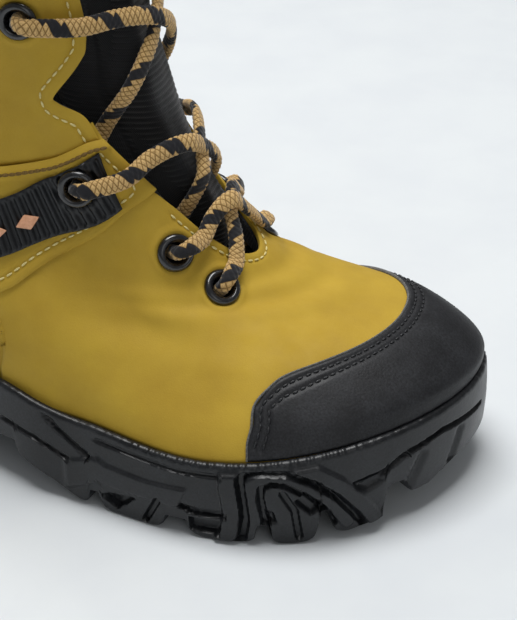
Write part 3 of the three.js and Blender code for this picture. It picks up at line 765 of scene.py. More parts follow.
@dataclass(frozen=True)
class Braid(Finish):
    """Braided polyester lace on a UV map of strand turns: tan strands, a few black, painted shade between."""

    tan: int = 0xD8B478
    # painted shade: the colour painted into the crevices between strands
    shade: int = 0x7A5A28
    fleck: int = 0x15151A
    strands: float = 5.0
    repeat: float = 9.0

    def build(self) -> bpy.types.Material:
        """Builds the material. U counts diagonal strands along the lace, V goes once round it.

        Returns:
            The material.
        """
        made, tree, shader = self.start(0.8, Sheen_Weight=0.25, Specular_IOR_Level=0.3)
        split = node(tree, "SeparateXYZ", {0: node(tree, "TexCoord").outputs["UV"]})
        cells, waves = [], []
        for sign in (1.0, -1.0):
            s = node(tree, "Math", {0: split.outputs[1], 1: self.strands * sign, 2: split.outputs[0]},
                     operation="MULTIPLY_ADD")
            cells.append(node(tree, "Math", {0: s.outputs[0]}, operation="FLOOR").outputs[0])
            turn = node(tree, "Math", {0: s.outputs[0], 1: math.pi}, operation="MULTIPLY")
            wave = node(tree, "Math", {0: turn.outputs[0]}, operation="SINE")
            waves.append(node(tree, "Math", {0: wave.outputs[0]}, operation="ABSOLUTE").outputs[0])
        along = node(tree, "Math", {0: cells[0], 1: cells[1]}, operation="ADD")
        around = node(tree, "Math", {0: cells[0], 1: cells[1]}, operation="SUBTRACT")
        pace = node(tree, "Math", {0: along.outputs[0], 1: math.pi / self.repeat}, operation="MULTIPLY")
        phase = node(tree, "Math", {0: around.outputs[0], 1: math.pi / self.strands, 2: pace.outputs[0]},
                     operation="MULTIPLY_ADD")
        patch = node(tree, "Math", {0: phase.outputs[0]}, operation="SINE")
        pick = node(tree, "Math", {0: patch.outputs[0], 1: 0.5}, operation="GREATER_THAN")
        # Painted shade: tan on the strands' crests, darkening to the shade colour in the crevices between
        # them.
        crest = node(tree, "Math", {0: waves[0], 1: waves[1]}, operation="MINIMUM")
        lit = node(tree, "MapRange", {0: crest.outputs[0], 1: 0.05, 2: 0.55})
        place = node(tree, "TexCoord").outputs["Object"]
        fuzz = node(tree, "TexNoise", {"Vector": place, "Scale": 1 / (0.5 * MM), "Detail": 3.0})
        share = node(tree, "Math", {0: lit.outputs[0], 1: fuzz.outputs[0]}, operation="MULTIPLY")
        share = node(tree, "Math", {0: share.outputs[0], 1: 1.6}, operation="MULTIPLY", use_clamp=True)
        cloth = node(tree, "Mix", {0: share.outputs[0], 6: srgb(self.shade), 7: srgb(self.tan)},
                     data_type="RGBA")
        colour = node(tree, "Mix", {0: pick.outputs[0], 6: cloth.outputs[2], 7: srgb(self.fleck)},
                      data_type="RGBA")
        bump = node(tree, "Bump", {"Height": fuzz.outputs[0], "Strength": 0.5, "Distance": 0.15 * MM})
        self.wire(shader, colour, bump)
        return made


@dataclass(frozen=True)
class Plain(Finish):
    """Thread, lacquer, steel, board or foam: two close tones in fine noise, with a fine bump."""

    base: int = 0x202020
    second: int = 0x303030
    grain_mm: float = 0.8
    roughness: float = 0.6
    metallic: float = 0.0
    coat: float = 0.0
    bump: float = 0.3

    def build(self) -> bpy.types.Material:
        """Builds the material.

        Returns:
            The material.
        """
        made, tree, shader = self.start(self.roughness, self.metallic, Coat_Weight=self.coat,
                                        Coat_Roughness=0.12)
        place = node(tree, "TexCoord").outputs["Object"]
        noise = node(tree, "TexNoise", {"Vector": place, "Scale": 1 / (self.grain_mm * MM), "Detail": 4.0})
        share = node(tree, "MapRange", {0: noise.outputs[0], 1: 0.35, 2: 0.65})
        colour = node(tree, "Mix", {0: share.outputs[0], 6: srgb(self.base), 7: srgb(self.second)},
                      data_type="RGBA")
        rough = node(tree, "MapRange", {0: noise.outputs[0], 1: 0.3, 2: 0.7, 3: self.roughness - 0.05,
                                        4: self.roughness + 0.08})
        bump = node(tree, "Bump", {"Height": noise.outputs[0], "Strength": self.bump,
                                   "Distance": 0.1 * MM})
        self.wire(shader, colour, bump, rough)
        return made


@dataclass
class Wardrobe:
    """Every finish of the boot, each built once."""

    def __post_init__(self) -> None:
        """Builds the materials."""
        # Waxed nubuck, sanded on the grain side: ochre, matt, with soft clouds from rubbing.
        self.nubuck = Nubuck("waxed_nubuck").build()
        # Corrected-grain cowhide, plated smooth: near black, with a broad dull highlight and fine pores.
        self.smooth_leather = Grain("smooth_black_leather", 0x141416, 0x28292C, 0.8, 0.1, 0.5).build()
        # Styrene-butadiene rubber moulded in a blasted tool: deep black, with a slight oily gloss.
        self.rubber = Grain("moulded_rubber", 0x0E0F11, 0x222427, 1.1, 0.08, 0.36, 0.12).build()
        # Thermoplastic rubber moulded in a fine tool: blacker and tighter in its grain than the sole.
        self.plate = Grain("ribbed_rubber", 0x0C0D0F, 0x1C1E21, 0.7, 0.06, 0.38, 0.1).build()
        # Polyester faille woven with thick wefts: black, with threads that catch a thin line of light.
        self.ribbed = Woven("ribbed_polyester", 0x070709, 0x16171A, 0.7).build()
        # Warp-knitted polyester spacer mesh: charcoal, dry and open, 1.6 mm from cell to cell.
        self.mesh = Woven("spacer_mesh", 0x101114, 0x2A2C31, 1.6).build()
        # Plain-woven polyester webbing: black, with threads wide enough to see as a check.
        self.webbing = Woven("woven_webbing", 0x0E0F11, 0x26282C, 1.2).build()
        # Polyester braid on a braiding machine: tan, with black strands that surface as short flecks.
        # Painted shade darkens the crevices between the braid's strands.
        self.lace = Braid("braided_lace").build()
        # Twisted polyester thread, drawn through wax: cream, in short raised grains.
        self.thread = Plain("waxed_polyester_thread", 0xE6DCA0, 0xC9B870, 0.4, 0.6).build()
        # The same thread dyed brown: a darker line that sinks into its ridge.
        self.brown_thread = Plain("brown_thread", 0x5A4312, 0x7B5E1C, 0.4, 0.65).build()
        # The same thread dyed black: seen by its shadow and a faint gloss.
        self.black_thread = Plain("black_thread", 0x0C0C0E, 0x202226, 0.4, 0.5).build()
        # Leather cut with a knife: grey fibres, a thin pale line round the toe cap.
        self.cut_edge = Plain("cut_leather_edge", 0x6F6F6C, 0x4A4A4A, 0.7, 0.7).build()
        # Brass, pressed and dipped in black lacquer: a hard, narrow highlight round each rim.
        self.lacquer = Plain("black_lacquered_brass", 0x0B0B0D, 0x191A1D, 2.5, 0.22, coat=0.6).build()
        # Acetate film shrunk on the lace's end: smooth and shiny black.
        self.plastic = Plain("aglet_polymer", 0x0C0C0E, 0x1A1A1D, 1.5, 0.25, coat=0.5).build()
        # Hardened steel strip, cold rolled: mid grey metal with a blurred reflection.
        self.steel = Plain("rolled_steel", 0x9A9CA0, 0x86888C, 1.2, 0.35, metallic=1.0).build()
        # Cellulose fibre board, pressed in sheets: tan, dry and flecked.
        self.board = Plain("fibre_board", 0xB9AB8C, 0x9B8C6D, 0.9, 0.9).build()
        # Cut polyurethane foam: dark grey and matt, with open cells.
        self.foam = Plain("open_cell_foam", 0x4A4A4C, 0x333335, 0.8, 0.95, bump=0.7).build()
        # Peach silicone rubber, cast in a low mould: opaque, even and slightly dull.
        self.patch = Plain("peach_rubber", 0xE0A884, 0xD09570, 0.9, 0.5).build()


def dress(obj: bpy.types.Object, material: bpy.types.Material, slot: str, body: str = BOOT,
          *nodes: str) -> bpy.types.Object:
    """Gives a new piece its material and its body, and hides the CAD nodes it stands for.

    Args:
        obj: the piece.
        material: its finish.
        slot: not used.
        body: the CAD body that it rides on.
        nodes: CAD nodes that it replaces.

    Returns:
        The piece.
    """
    obj.data.materials.clear()
    obj.data.materials.append(material)
    if nodes:
        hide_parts(*nodes)
    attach(obj, body)
    LOG.info("%s: %d faces", obj.name, len(obj.data.polygons))
    return obj


# ---------- panels and stitches ----------
@dataclass
class Panel:
    """A sheet of leather or cloth on the last, between rows of (a, v) knots.

    Args:
        name: the piece's name.
        rows: the knots, low row to high row.
        outer: offset of its outer face, a number or a function of arrays (a, v, i, j fractions).
        thick: its thickness.
        columns, steps: faces along and across.
        eyelets: (a, v) centres that get a hole.
        roll: how far its edges turn down, and over what width.
        channels: (path, depth, half width) of sewn grooves, or of ridges where the depth is negative.
    """

    name: str
    rows: Sequence[Row]
    outer: float | Callable
    thick: float
    columns: int = 120
    steps: int = 60
    eyelets: Sequence[tuple[float, float]] = ()
    roll: tuple[float, float] = (0.5, 1.6)
    channels: list[tuple[Array, float, float]] = field(default_factory=list)
    hole: float = 4.9
    bevel: float = 0.3

    def knots(self) -> tuple[Array, Array]:
        """The panel's (a, v) grid.

        Returns:
            Two (steps + 1, columns + 1) arrays.
        """
        lines = np.stack([through(row, self.columns + 1) for row in self.rows])
        grid = np.stack([through(lines[:, i], self.steps + 1) for i in range(self.columns + 1)], axis=1)
        return grid[..., 0], grid[..., 1]

    def build(self, last: Last) -> bpy.types.Object:
        """Builds the panel.

        Args:
            last: the surface it lies on.

        Returns:
            The closed piece.
        """
        a, v = self.knots()
        j, i = np.meshgrid(np.linspace(0, 1, a.shape[0]), np.linspace(0, 1, a.shape[1]), indexing="ij")
        offset = self.outer(a, v, i, j) if callable(self.outer) else np.full(a.shape, float(self.outer))
        flat = last.place(a, v, 0)
        edge = np.concatenate([flat[0], flat[-1], flat[:, 0], flat[:, -1]])
        if self.roll[0]:
            down, width = self.roll
            away = nearest(edge, flat.reshape(-1, 3)).reshape(a.shape) / MM
            offset = offset - down * np.clip(1 - away / width, 0, 1) ** 2
        for path, depth, half in self.channels:
            fine = last.place(*spline(path, 400).T, 0)
            away = nearest(fine, flat.reshape(-1, 3)).reshape(a.shape) / MM
            offset = offset - depth * np.exp(-((away / half) ** 2))
        for spot in self.eyelets:
            away = np.linalg.norm(flat - last.place(*spot), axis=-1) / MM
            offset = offset + 0.7 * np.exp(-(((away - 7.4) / 1.2) ** 2))
        points = last.place(a, v, offset)
        middle = (flat[len(flat) // 2], flat[:, flat.shape[1] // 2])
        uv = np.stack(np.meshgrid(*map(run_of, middle)), axis=-1)
        obj = lay_grid(self.name, points, uv)
        self.face_out(obj, last, a, v)
        if self.eyelets:
            self.punch(obj, last)
        modify(obj, "SOLIDIFY", thickness=self.thick * MM, offset=-1, use_even_offset=False)
        if self.bevel:
            modify(obj, "BEVEL", width=self.bevel * MM, segments=2, limit_method="ANGLE",
                   angle_limit=math.radians(50))
        smooth(obj, 50)
        return obj

    def face_out(self, obj: bpy.types.Object, last: Last, a: Array, v: Array) -> None:
        """Flips the sheet where its faces point into the boot.

        Args:
            obj: the sheet.
            last: the surface it lies on.
            a, v: turn positions and height fractions.
        """
        middle = obj.data.polygons[len(obj.data.polygons) // 2]
        flat = last.place(a, v).reshape(-1, 3)
        near = int(np.argmin(np.linalg.norm(flat - np.array(middle.center), axis=1)))
        out = last.outward(a, v).reshape(-1, 3)[near]
        if np.dot(out, np.array(middle.normal)) < 0:
            edit(obj, bpy.ops.mesh.flip_normals)

    def punch(self, obj: bpy.types.Object, last: Last) -> None:
        """Cuts the holes that the eyelets close.

        Args:
            obj: the sheet.
            last: the surface it lies on.
        """
        only(obj)
        bpy.ops.object.mode_set(mode="EDIT")
        bpy.ops.mesh.select_all(action="DESELECT")
        bpy.ops.object.mode_set(mode="OBJECT")
        spots = [Vector(last.place(*spot)) for spot in self.eyelets]
        for face in obj.data.polygons:
            face.select = any((face.center - spot).length < self.hole * MM for spot in spots)
        bpy.ops.object.mode_set(mode="EDIT")
        bpy.ops.mesh.select_mode(type="FACE")
        bpy.ops.mesh.delete(type="FACE")
        bpy.ops.object.mode_set(mode="OBJECT")


def tree_of(points: Array) -> KDTree:
    """A search tree over points."""
    tree = KDTree(len(points))
    for k, p in enumerate(points):
        tree.insert(p, k)
    tree.balance()
    return tree


def nearest(line: Array, points: Array) -> Array:
    """Distance from each point to a line.

    Args:
        line: (m, 3) points of the line.
        points: (n, 3) points.

    Returns:
        The distances, in the units of the points.
    """
    tree = tree_of(line)
    return np.array([tree.find(p)[2] for p in points])


@dataclass
class Stitching:
    """A row of stitches on the last.

    Args:
        path: (n, 2) knots of the row.
        lift: height of the thread's middle over the last.
        pitch, length, width: sizes of a stitch.
    """

    path: Array
    lift: float
    pitch: float = 3.0
    length: float = 2.3
    width: float = 0.75

    def places(self, last: Last) -> list[Matrix]:
        """Where each stitch goes.

        Args:
            last: the surface.

        Returns:
            One matrix per stitch.
        """
        fine = spline(self.path, 600)
        points = last.place(*fine.T, self.lift)
        run = run_of(points) / MM
        count = max(int(run[-1] / self.pitch), 1)
        normal = last.outward(*fine.T)
        made = []
        for k in range(count):
            at = (k + 0.5) * run[-1] / count
            n = int(np.clip(np.searchsorted(run, at), 1, len(run) - 2))
            made.append(basis(points[n + 1] - points[n - 1], normal[n], points[n]))
        return made


def sew(name: str, rows: Sequence[Stitching], last: Last, material: bpy.types.Material,
        slot: str, body: str = BOOT) -> bpy.types.Object:
    """Sews rows of stitches as one piece.

    Args:
        name: the piece's name.
        rows: the rows, which share their stitch size.
        last: the surface.
        material: the thread.
        slot: the record's material slot.
        body: the CAD body that it rides on.

    Returns:
        The piece.
    """
    first = rows[0]
    bpy.ops.object.select_all(action="DESELECT")
    bpy.ops.mesh.primitive_uv_sphere_add(segments=8, ring_count=6, radius=0.5)
    stitch = bpy.context.object
    only(stitch)
    stitch.data.transform(Matrix.Rotation(math.pi / 2, 4, "Y"))
    flat = coords(stitch) * np.array([first.length, first.width, first.width * 0.8]) * MM
    set_coords(stitch, flat)
    obj = join(name, copies(stitch, [m for row in rows for m in row.places(last)]))
    smooth(obj, 80)
    return dress(obj, material, slot, body)


def sweep(name: str, path: Array, facing: Array, half: Array, thin: Array, sides: int = 16,
          ripple: Callable | None = None, turns: float = 1.0, girth: float = 1.0,
          power: float = 1.0) -> bpy.types.Object:
    """Sweeps an oval along a path.

    Args:
        name: the piece's name.
        path: (n, 3) points in metres.
        facing: (n, 3) directions that the flat side faces.
        half, thin: half width and half thickness at each point, in metres.
        sides: faces round.
        ripple: extra radius in metres for arrays (length in metres, turn 0 to 1).
        turns: U is the length in metres times this.
        girth: V at the end of one turn, 1 or the length round in metres.
        power: below 1 squares the oval's ends.

    Returns:
        The closed piece.
    """
    along = np.gradient(path, axis=0)
    along /= np.linalg.norm(along, axis=1, keepdims=True)
    run = run_of(path)
    normal = steady(along, facing)
    side = np.cross(along, normal)
    theta = np.linspace(0, 2 * math.pi, sides + 1)
    cos, sin = np.cos(theta), np.sin(theta)
    cos, sin = np.sign(cos) * np.abs(cos) ** power, np.sign(sin) * np.abs(sin) ** power
    round_ = side[:, None] * cos[None, :, None] * half[:, None, None]
    round_ = round_ + normal[:, None] * sin[None, :, None] * thin[:, None, None]
    if ripple is not None:
        extra = ripple(run[:, None], (theta / (2 * math.pi))[None, :])
        round_ = round_ * (1 + extra / np.linalg.norm(round_, axis=-1))[..., None]
    points = path[:, None] + round_
    points = np.concatenate([path[:1, None].repeat(sides + 1, 1), points,
                             path[-1:, None].repeat(sides + 1, 1)])
    length = np.r_[run[0], run, run[-1]] * turns
    uv = np.stack(np.broadcast_arrays(length[:, None], theta[None, :] / (2 * math.pi) * girth), axis=-1)
    obj = lay_grid(name, points, uv, weld=True)
    smooth(obj, 60)
    return obj


def lathe(profile: Array, segments: int) -> Array:
    """A profile turned about the Z axis.

    Args:
        profile: (n, 2) radii and heights.
        segments: faces round.

    Returns:
        (n, segments + 1, 3) points.
    """
    theta = np.linspace(0, 2 * math.pi, segments + 1)
    return np.array([[(r * math.cos(t), r * math.sin(t), z) for t in theta] for r, z in profile])


def steady(along: Array, facing: Array) -> Array:
    """Normals along a path that turn smoothly and face as asked where they can.

    Args:
        along: (n, 3) unit tangents.
        facing: (n, 3) wanted directions.

    Returns:
        (n, 3) unit normals.
    """
    made = np.empty_like(along)
    last = facing[0]
    for k, (t, want) in enumerate(zip(along, facing)):
        carried = last - t * (last @ t)
        carried /= max(np.linalg.norm(carried), 1e-9)
        want = want - t * (want @ t)
        strength = np.linalg.norm(want)
        want = want * (1 if want @ carried >= 0 else -1)
        mixed = carried + 0.35 * want * strength
        last = made[k] = mixed / np.linalg.norm(mixed)
    return made


# ---------- upper ----------
@dataclass
class Upper:
    """Leather shell: vamp, quarters, shafts, straps with ribbed plates, toe cap, heel cap and backstay."""

    last: Last
    wear: Wardrobe
    leather: float = 1.5
    overlay: float = 1.6
    plate: float = 1.6
    rib_pitch: float = 3.4
    rib_height: float = 0.9
    seam_in: float = 4.3
    top_in: float = 3.5
    heel_gap: float = 0.008

    def build(self) -> None:
        """Builds all of the shell."""
        self.vamp()
        for side in Side:
            self.rear(side)
            self.strap(side)
            self.ribbed_plate(side)
        self.toe_cap()
        self.heel()

    def side_rows(self, rows: Sequence[Row], side: Side) -> list[list[tuple[float, float]]]:
        """Rows placed on one side, always running so that left is up.

        Args:
            rows: lateral rows.
            side: the side.

        Returns:
            The rows.
        """
        if side is Side.LATERAL:
            return [list(row) for row in rows]
        return [mirrored(row) for row in rows]

    def rear_row(self, knot: tuple[float, float, float], shift: float = 0.0) -> list[tuple[float, float]]:
        """A row from the heel seam to the front edge.

        Args:
            knot: the front edge's turn position and height, and the heel's height.
            shift: added height.

        Returns:
            The row.
        """
        front, v_front, v_heel = knot
        return [(t * front, v_heel + (v_front - v_heel) * t**2.3 + shift)
                for t in np.linspace(self.heel_gap / front, 1, 13)]

    def even(self, row: Row) -> list[tuple[float, float]]:
        """A row's knots spaced evenly over the surface.

        Args:
            row: knots.

        Returns:
            Knots.
        """
        fine = spline(np.array(row, dtype=float), 400)
        run = run_of(self.last.skin(*fine.T))
        want = np.linspace(0, run[-1], 13)
        return [(float(np.interp(w, run, fine[:, 0])), float(np.interp(w, run, fine[:, 1]))) for w in want]

    def sewn(self, path: Row, distance: float) -> Array:
        """A stitch row's path, inset from an edge."""
        fine = spline(np.array(path, dtype=float), 40)
        return self.last.inset(fine, distance)

    def vamp(self) -> None:
        """Builds the vamp and its throat stitching."""
        low = both([(a, 0.0) for a in (0.385, 0.42, 0.5, 0.58, 0.66, 0.74, 0.82, 0.91, 1)])
        mid = both([(0.39, 0.1), (0.41, 0.12), (0.49, 0.16), (0.57, 0.2), (0.66, 0.23), (0.74, 0.24),
                    (0.82, 0.24), (0.91, 0.25), (1, 0.25)])
        high = both([*VAMP_REAR, *THROAT])
        seam = self.sewn(both([VAMP_REAR[-1], *THROAT])[1:-1], -2.8)
        holes = [(side.turn(a), v) for side in Side for a, v in EYELETS[:STRAP_LEVEL]]
        vamp = Panel("vamp", [low, mid, high], self.creased, self.leather, 380, 150, holes,
                     channels=[(seam, 0.35, 0.9)]).build(self.last)
        dress(vamp, self.wear.nubuck, "nubuck", BOOT, "vamp")
        sew("vamp_stitching", [Stitching(seam, 0.05)], self.last, self.wear.thread, "nubuck")

    def creased(self, a: Array, v: Array, i: Array, j: Array) -> Array:
        """Soft folds where the foot bends, and the slight swell of stretched leather.

        Args:
            a, v, i, j: the panel's turn positions, heights, and places along and up it, 0 to 1.

        Returns:
            Offset in millimetres.
        """
        bend = np.exp(-(((a - 1) / 0.33) ** 2)) * np.exp(-(((v - 0.4) / 0.07) ** 2))
        swell = 0.35 * np.sin(9 * a + 14 * v) * np.sin(7 * v - 5 * a) + 0.2 * np.sin(23 * a + 31 * v)
        return swell * blur(v / 0.15) * (1 - 0.6 * j) + 0.6 * bend * np.sin(90 * v + 6 * np.cos(4 * a))

    def padded(self, a: Array, v: Array, i: Array, j: Array) -> Array:
        """The shaft's padded ankle and the slack folds of its leather.

        Args:
            a, v, i, j: the panel's turn positions, heights, and places along and up it, 0 to 1.

        Returns:
            Offset in millimetres.
        """
        pad = 1.0 * np.exp(-(((a - 0.42) / 0.2) ** 2) - ((v - 0.78) / 0.12) ** 2)
        folds = 0.5 * np.sin(31 * v + 5 * a) * np.sin(8 * a + 2) + 0.22 * np.sin(55 * v - 11 * a)
        edge = np.minimum(np.minimum(i, 1 - i) / 0.15, 1) * np.minimum(np.minimum(j, 1 - j) / 0.15, 1)
        return (pad + folds) * edge

    def rear(self, side: Side) -> None:
        """Builds one side's quarter and shaft with their front edge stitching.

        Args:
            side: the side.
        """
        quarter = [self.rear_row((k[0] + 0.03, k[1], k[2])) for k in REAR[:4]]
        quarter += [self.rear_row(k) for k in REAR[4:SEAM]] + [self.rear_row(REAR[SEAM], 0.016)]
        shaft = [self.rear_row(REAR[SEAM], -0.006)] + [self.rear_row(k) for k in REAR[SEAM + 1:]]
        front = [(side.turn(a), v) for a, v, _ in REAR[SEAM - 1:]]
        flip = -side.value
        seam = self.sewn(front, self.seam_in * flip)
        holes = [(side.turn(a), v) for a, v in EYELETS]

        def tucked(a: Array, v: Array, i: Array, j: Array) -> Array:
            """The padding, with the edges under strap and vamp pressed in."""
            ahead = i if side is Side.LATERAL else 1 - i
            under = blur((j - 0.9) / 0.05) + blur((ahead - 0.9) / 0.05) * (1 - blur((j - 0.42) / 0.1))
            return self.padded(a, v, i, j) - 1.8 * np.minimum(under, 1)

        low = Panel(f"quarter_{side.word}", self.side_rows(quarter, side), tucked, self.leather,
                    150, 110, [holes[STRAP_LEVEL]], channels=[(seam, 0.35, 0.9)]).build(self.last)
        dress(low, self.wear.nubuck, "nubuck", BOOT, f"quarter_{side.word}")
        high = Panel(f"shaft_{side.word}", self.side_rows(shaft, side), self.padded, self.leather,
                     220, 130, holes[3:], channels=[(seam, 0.4, 0.9)]).build(self.last)
        dress(high, self.wear.nubuck, "nubuck", BOOT, f"shaft_{side.word}")
        top = self.sewn([(side.turn(a), v) for a, v in shaft[-1]], -self.top_in * flip)
        sew(f"shaft_stitching_{side.word}", [Stitching(seam, 0.05), Stitching(top, 0.05)], self.last,
            self.wear.thread, "nubuck")

    def strap(self, side: Side) -> None:
        """Builds the strap that holds the instep eyelet, its edge stitching and its ridge seam.

        Args:
            side: the side.
        """
        rows = self.side_rows([STRAP_LOW, STRAP_HIGH], side)
        flip = -side.value
        low_row = [(side.turn(a), v) for a, v in STRAP_LOW]
        high_row = [(side.turn(a), v) for a, v in STRAP_HIGH]
        tip = [high_row[-1], tuple((p + q) / 2 for p, q in zip(high_row[-1], low_row[-1])), low_row[-1]]
        down = self.sewn(tip, -4 * flip)[3:-9]
        low = np.concatenate([down[::6], self.sewn(low_row[::-1], -4 * flip)[3::3]])
        ridge = self.sewn(high_row, -2.6 * flip)
        spot = (side.turn(EYELETS[STRAP_LEVEL][0]), EYELETS[STRAP_LEVEL][1])
        strap = Panel(f"strap_{side.word}", rows, 1.4, self.overlay, 260, 90, [spot],
                      channels=[(low, 0.35, 0.9), (ridge, -1.3, 1.7)]).build(self.last)
        dress(strap, self.wear.nubuck, "nubuck", BOOT, f"strap_{side.word}")
        sew(f"strap_stitching_{side.word}", [Stitching(low, 1.45)], self.last, self.wear.thread, "nubuck")
        sew(f"ridge_seam_{side.word}", [Stitching(ridge, 2.75, 2.1, 2.6, 1.3)], self.last,
            self.wear.brown_thread, "nubuck")

    def ribbed_plate(self, side: Side) -> None:
        """Builds the ribbed rubber plate on the strap, with two plain raised pads.

        Args:
            side: the side.
        """
        rows = self.side_rows([self.even(PLATE_LOW), self.even(PLATE_HIGH)], side)
        spot = (side.turn(EYELETS[STRAP_LEVEL][0]), EYELETS[STRAP_LEVEL][1])
        length = float(np.linalg.norm(np.diff(self.last.place(*spline(np.array(PLATE_LOW), 200).T), axis=0),
                                      axis=1).sum()) / MM

        def ribs(a: Array, v: Array, i: Array, j: Array) -> Array:
            """Ribs across the plate, with a plain margin."""
            wave = np.clip(1.3 * np.sin(2 * math.pi * i * length / self.rib_pitch + 5 * j), -1, 1)
            margin = blur(np.minimum(j, 1 - j) / 0.1) * blur(np.minimum(i, 1 - i) / 0.02)
            return 1.4 + self.plate + self.rib_height * (0.5 * wave - 0.5) * margin

        plate = Panel(f"strap_plate_{side.word}", rows, ribs, self.plate, 420, 40, [spot],
                      roll=(0.5, 1.0)).build(self.last)
        dress(plate, self.wear.plate, "plate_rubber", BOOT, f"strap_plate_{side.word}")
        self.pads(side)

    def pads(self, side: Side) -> None:
        """Adds a row of plain peach lozenges to the plate's middle.

        Args:
            side: the side.
        """
        middle = [((a + b) / 2, (p + q) / 2) for (a, p), (b, q) in zip(PLATE_LOW, PLATE_HIGH)]
        line = spline(np.array([(side.turn(a), v) for a, v in middle]), 200)
        points = self.last.place(*line.T, 1.4 + self.plate + 0.1)
        normal = self.last.outward(*line.T)
        bpy.ops.object.select_all(action="DESELECT")
        bpy.ops.mesh.primitive_cylinder_add(vertices=4, radius=3.4 * MM, depth=1.0 * MM)
        pad = bpy.context.object
        set_coords(pad, coords(pad) * np.array([1.25, 0.8, 1]))
        modify(pad, "BEVEL", width=0.35 * MM, segments=2)
        places = [basis(points[k + 2] - points[k - 2], normal[k], points[k]) for k in (52, 76, 100, 124)]
        pads = join(f"plate_pads_{side.word}", copies(pad, places))
        smooth(pads, 40)
        dress(pads, self.wear.patch, "plate_rubber")

    def toe_cap(self) -> None:
        """Builds the smooth toe cap, its twin rows of black stitches and its light cut edge."""
        low = both([(a, 0.012) for a in (0.652, 0.7, 0.76, 0.83, 0.92, 1)])
        mid = both([(0.65, 0.08), (0.68, 0.12), (0.74, 0.15), (0.82, 0.165), (0.91, 0.17), (1, 0.17)])
        edge = both(CAP_EDGE[2:])
        rows = [self.sewn(both(CAP_EDGE[1:]), -d) for d in (2.6, 5.4)]
        cap = Panel("toe_cap", [low, mid, edge], 1.5, self.overlay, 320, 110, roll=(0.6, 1.4),
                    channels=[(row, 0.4, 0.9) for row in rows]).build(self.last)
        dress(cap, self.wear.smooth_leather, "toe_leather", BOOT, "toe_cap")
        sew("toe_cap_stitching", [Stitching(row, 1.35, 2.8, 2.1, 0.8) for row in rows], self.last,
            self.wear.black_thread, "toe_leather")
        line = spline(np.array(both([(0.652, 0.012), (0.65, 0.08), *CAP_EDGE[2:]])), 500)
        path = self.last.place(*line.T, 0.7)
        bead = sweep("toe_cap_edge", path, self.last.outward(*line.T), np.full(500, 0.45 * MM),
                     np.full(500, 0.7 * MM), 8)
        dress(bead, self.wear.cut_edge, "toe_leather")

    def heel(self) -> None:
        """Builds the heel cap with its stitches, and the backstay."""
        span = np.linspace(-0.2, 0.2, 9)
        low = [(a, 0.02) for a in span]
        high = [(a, 0.4 - 0.12 * (a / 0.2) ** 2) for a in span]
        row = self.sewn(high, -2.8)
        cap = Panel("heel_cap", [low, high], 1.5, self.overlay, 140, 90, roll=(0.6, 1.4),
                    channels=[(row, 0.4, 0.9)]).build(self.last)
        dress(cap, self.wear.smooth_leather, "toe_leather", BOOT, "heel_cap")
        sew("heel_cap_stitching", [Stitching(row, 1.35, 2.8, 2.1, 0.8)], self.last,
            self.wear.black_thread, "toe_leather")
        stay = [[(a, v) for a in np.linspace(-0.05, 0.05, 5)] for v in (0.38, 0.55, 0.7, 0.85, 0.985)]
        seams = [np.array([(a, v) for v in np.linspace(0.42, 0.97, 12)]) for a in (-0.04, 0.04)]
        strip = Panel("backstay", stay, 1.4, self.overlay, 40, 160,
                      channels=[(seam, 0.35, 0.9) for seam in seams]).build(self.last)
        dress(strip, self.wear.webbing, "webbing", BOOT, "backstay")
        sew("backstay_stitching", [Stitching(seam, 1.4) for seam in seams], self.last,
            self.wear.black_thread, "webbing")


# ---------- sole ----------
@dataclass
class Stroke:
    """A line of relief on the sole's wall, in (millimetres back from the toe, height).

    Args:
        path: its corners.
        half: half its width.
        depth: how deep it is, or how high where negative.
        soft: width of its edges.
    """

    path: Row
    half: float
    depth: float
    soft: float = 0.7

    def field(self, points: Array) -> Array:
        """The depth at each (L, z) point."""
        return self.depth * hump(to_segments(points, np.array(self.path, dtype=float)), self.half, self.soft)


@dataclass
class Patch:
    """A closed area of relief on the sole's wall.

    Args:
        outline: its corners.
        depth: how deep it is, or how high where negative.
        soft: width of its edges.
    """

    outline: Row
    depth: float
    soft: float = 0.8

    def field(self, points: Array) -> Array:
        """The depth at each (L, z) point.

        Args:
            points: (n, 2) points.

        Returns:
            The depths.
        """
        ring = np.array([*self.outline, self.outline[0]], dtype=float)
        away = to_segments(points, ring)
        signed = np.where(inside(points, ring[:-1]), -away, away)
        return self.depth * (1 - blur(signed / self.soft + 0.5))


ARCH = (
    Stroke(((107, -2), (103, 5), (102.3, 14), (103.5, 22), (104, 28), (100.5, 31.3), (94, 32.2), (86, 32),
            (77, 28.8), (69, 22.6), (61.5, 13.5), (55, 4)), 2.2, -1.7, 1.3),
    Stroke(((102.5, -3), (99.2, 2), (97.8, 10), (98.9, 19.6), (99.8, 25.5), (98.4, 28), (93, 29.3), (85, 29),
            (77, 25), (69.8, 18.8), (62.8, 9.8), (59.5, 4)), 0.8, 2.0, 0.9),
    Stroke(((95.5, 1), (95, 10), (96, 19.6), (96.4, 24), (94, 26.6), (89.5, 27), (84, 26.4), (77.4, 22.4),
            (71.4, 16.4), (65.5, 7)), 1.5, -1.0, 1.0),
    Stroke(((91, 4), (92, 12), (93.4, 19), (93, 23.2), (90.4, 24.8), (85.6, 24.2), (80, 20.6), (74.4, 15),
            (70, 7.5)), 0.7, 1.9, 0.8),
    Stroke(((86.4, 20.6), (82.6, 13.6), (81, 3)), 0.7, 1.6, 0.8),
    Patch(((82.6, 17.4), (79.6, 19.4), (74.4, 14.6), (77.4, 12)), 2.4, 1.4),
    Patch(((91.6, 13), (89.4, 13.4), (88.4, 9.4), (90.6, 9)), 2.2, 1.2),
)
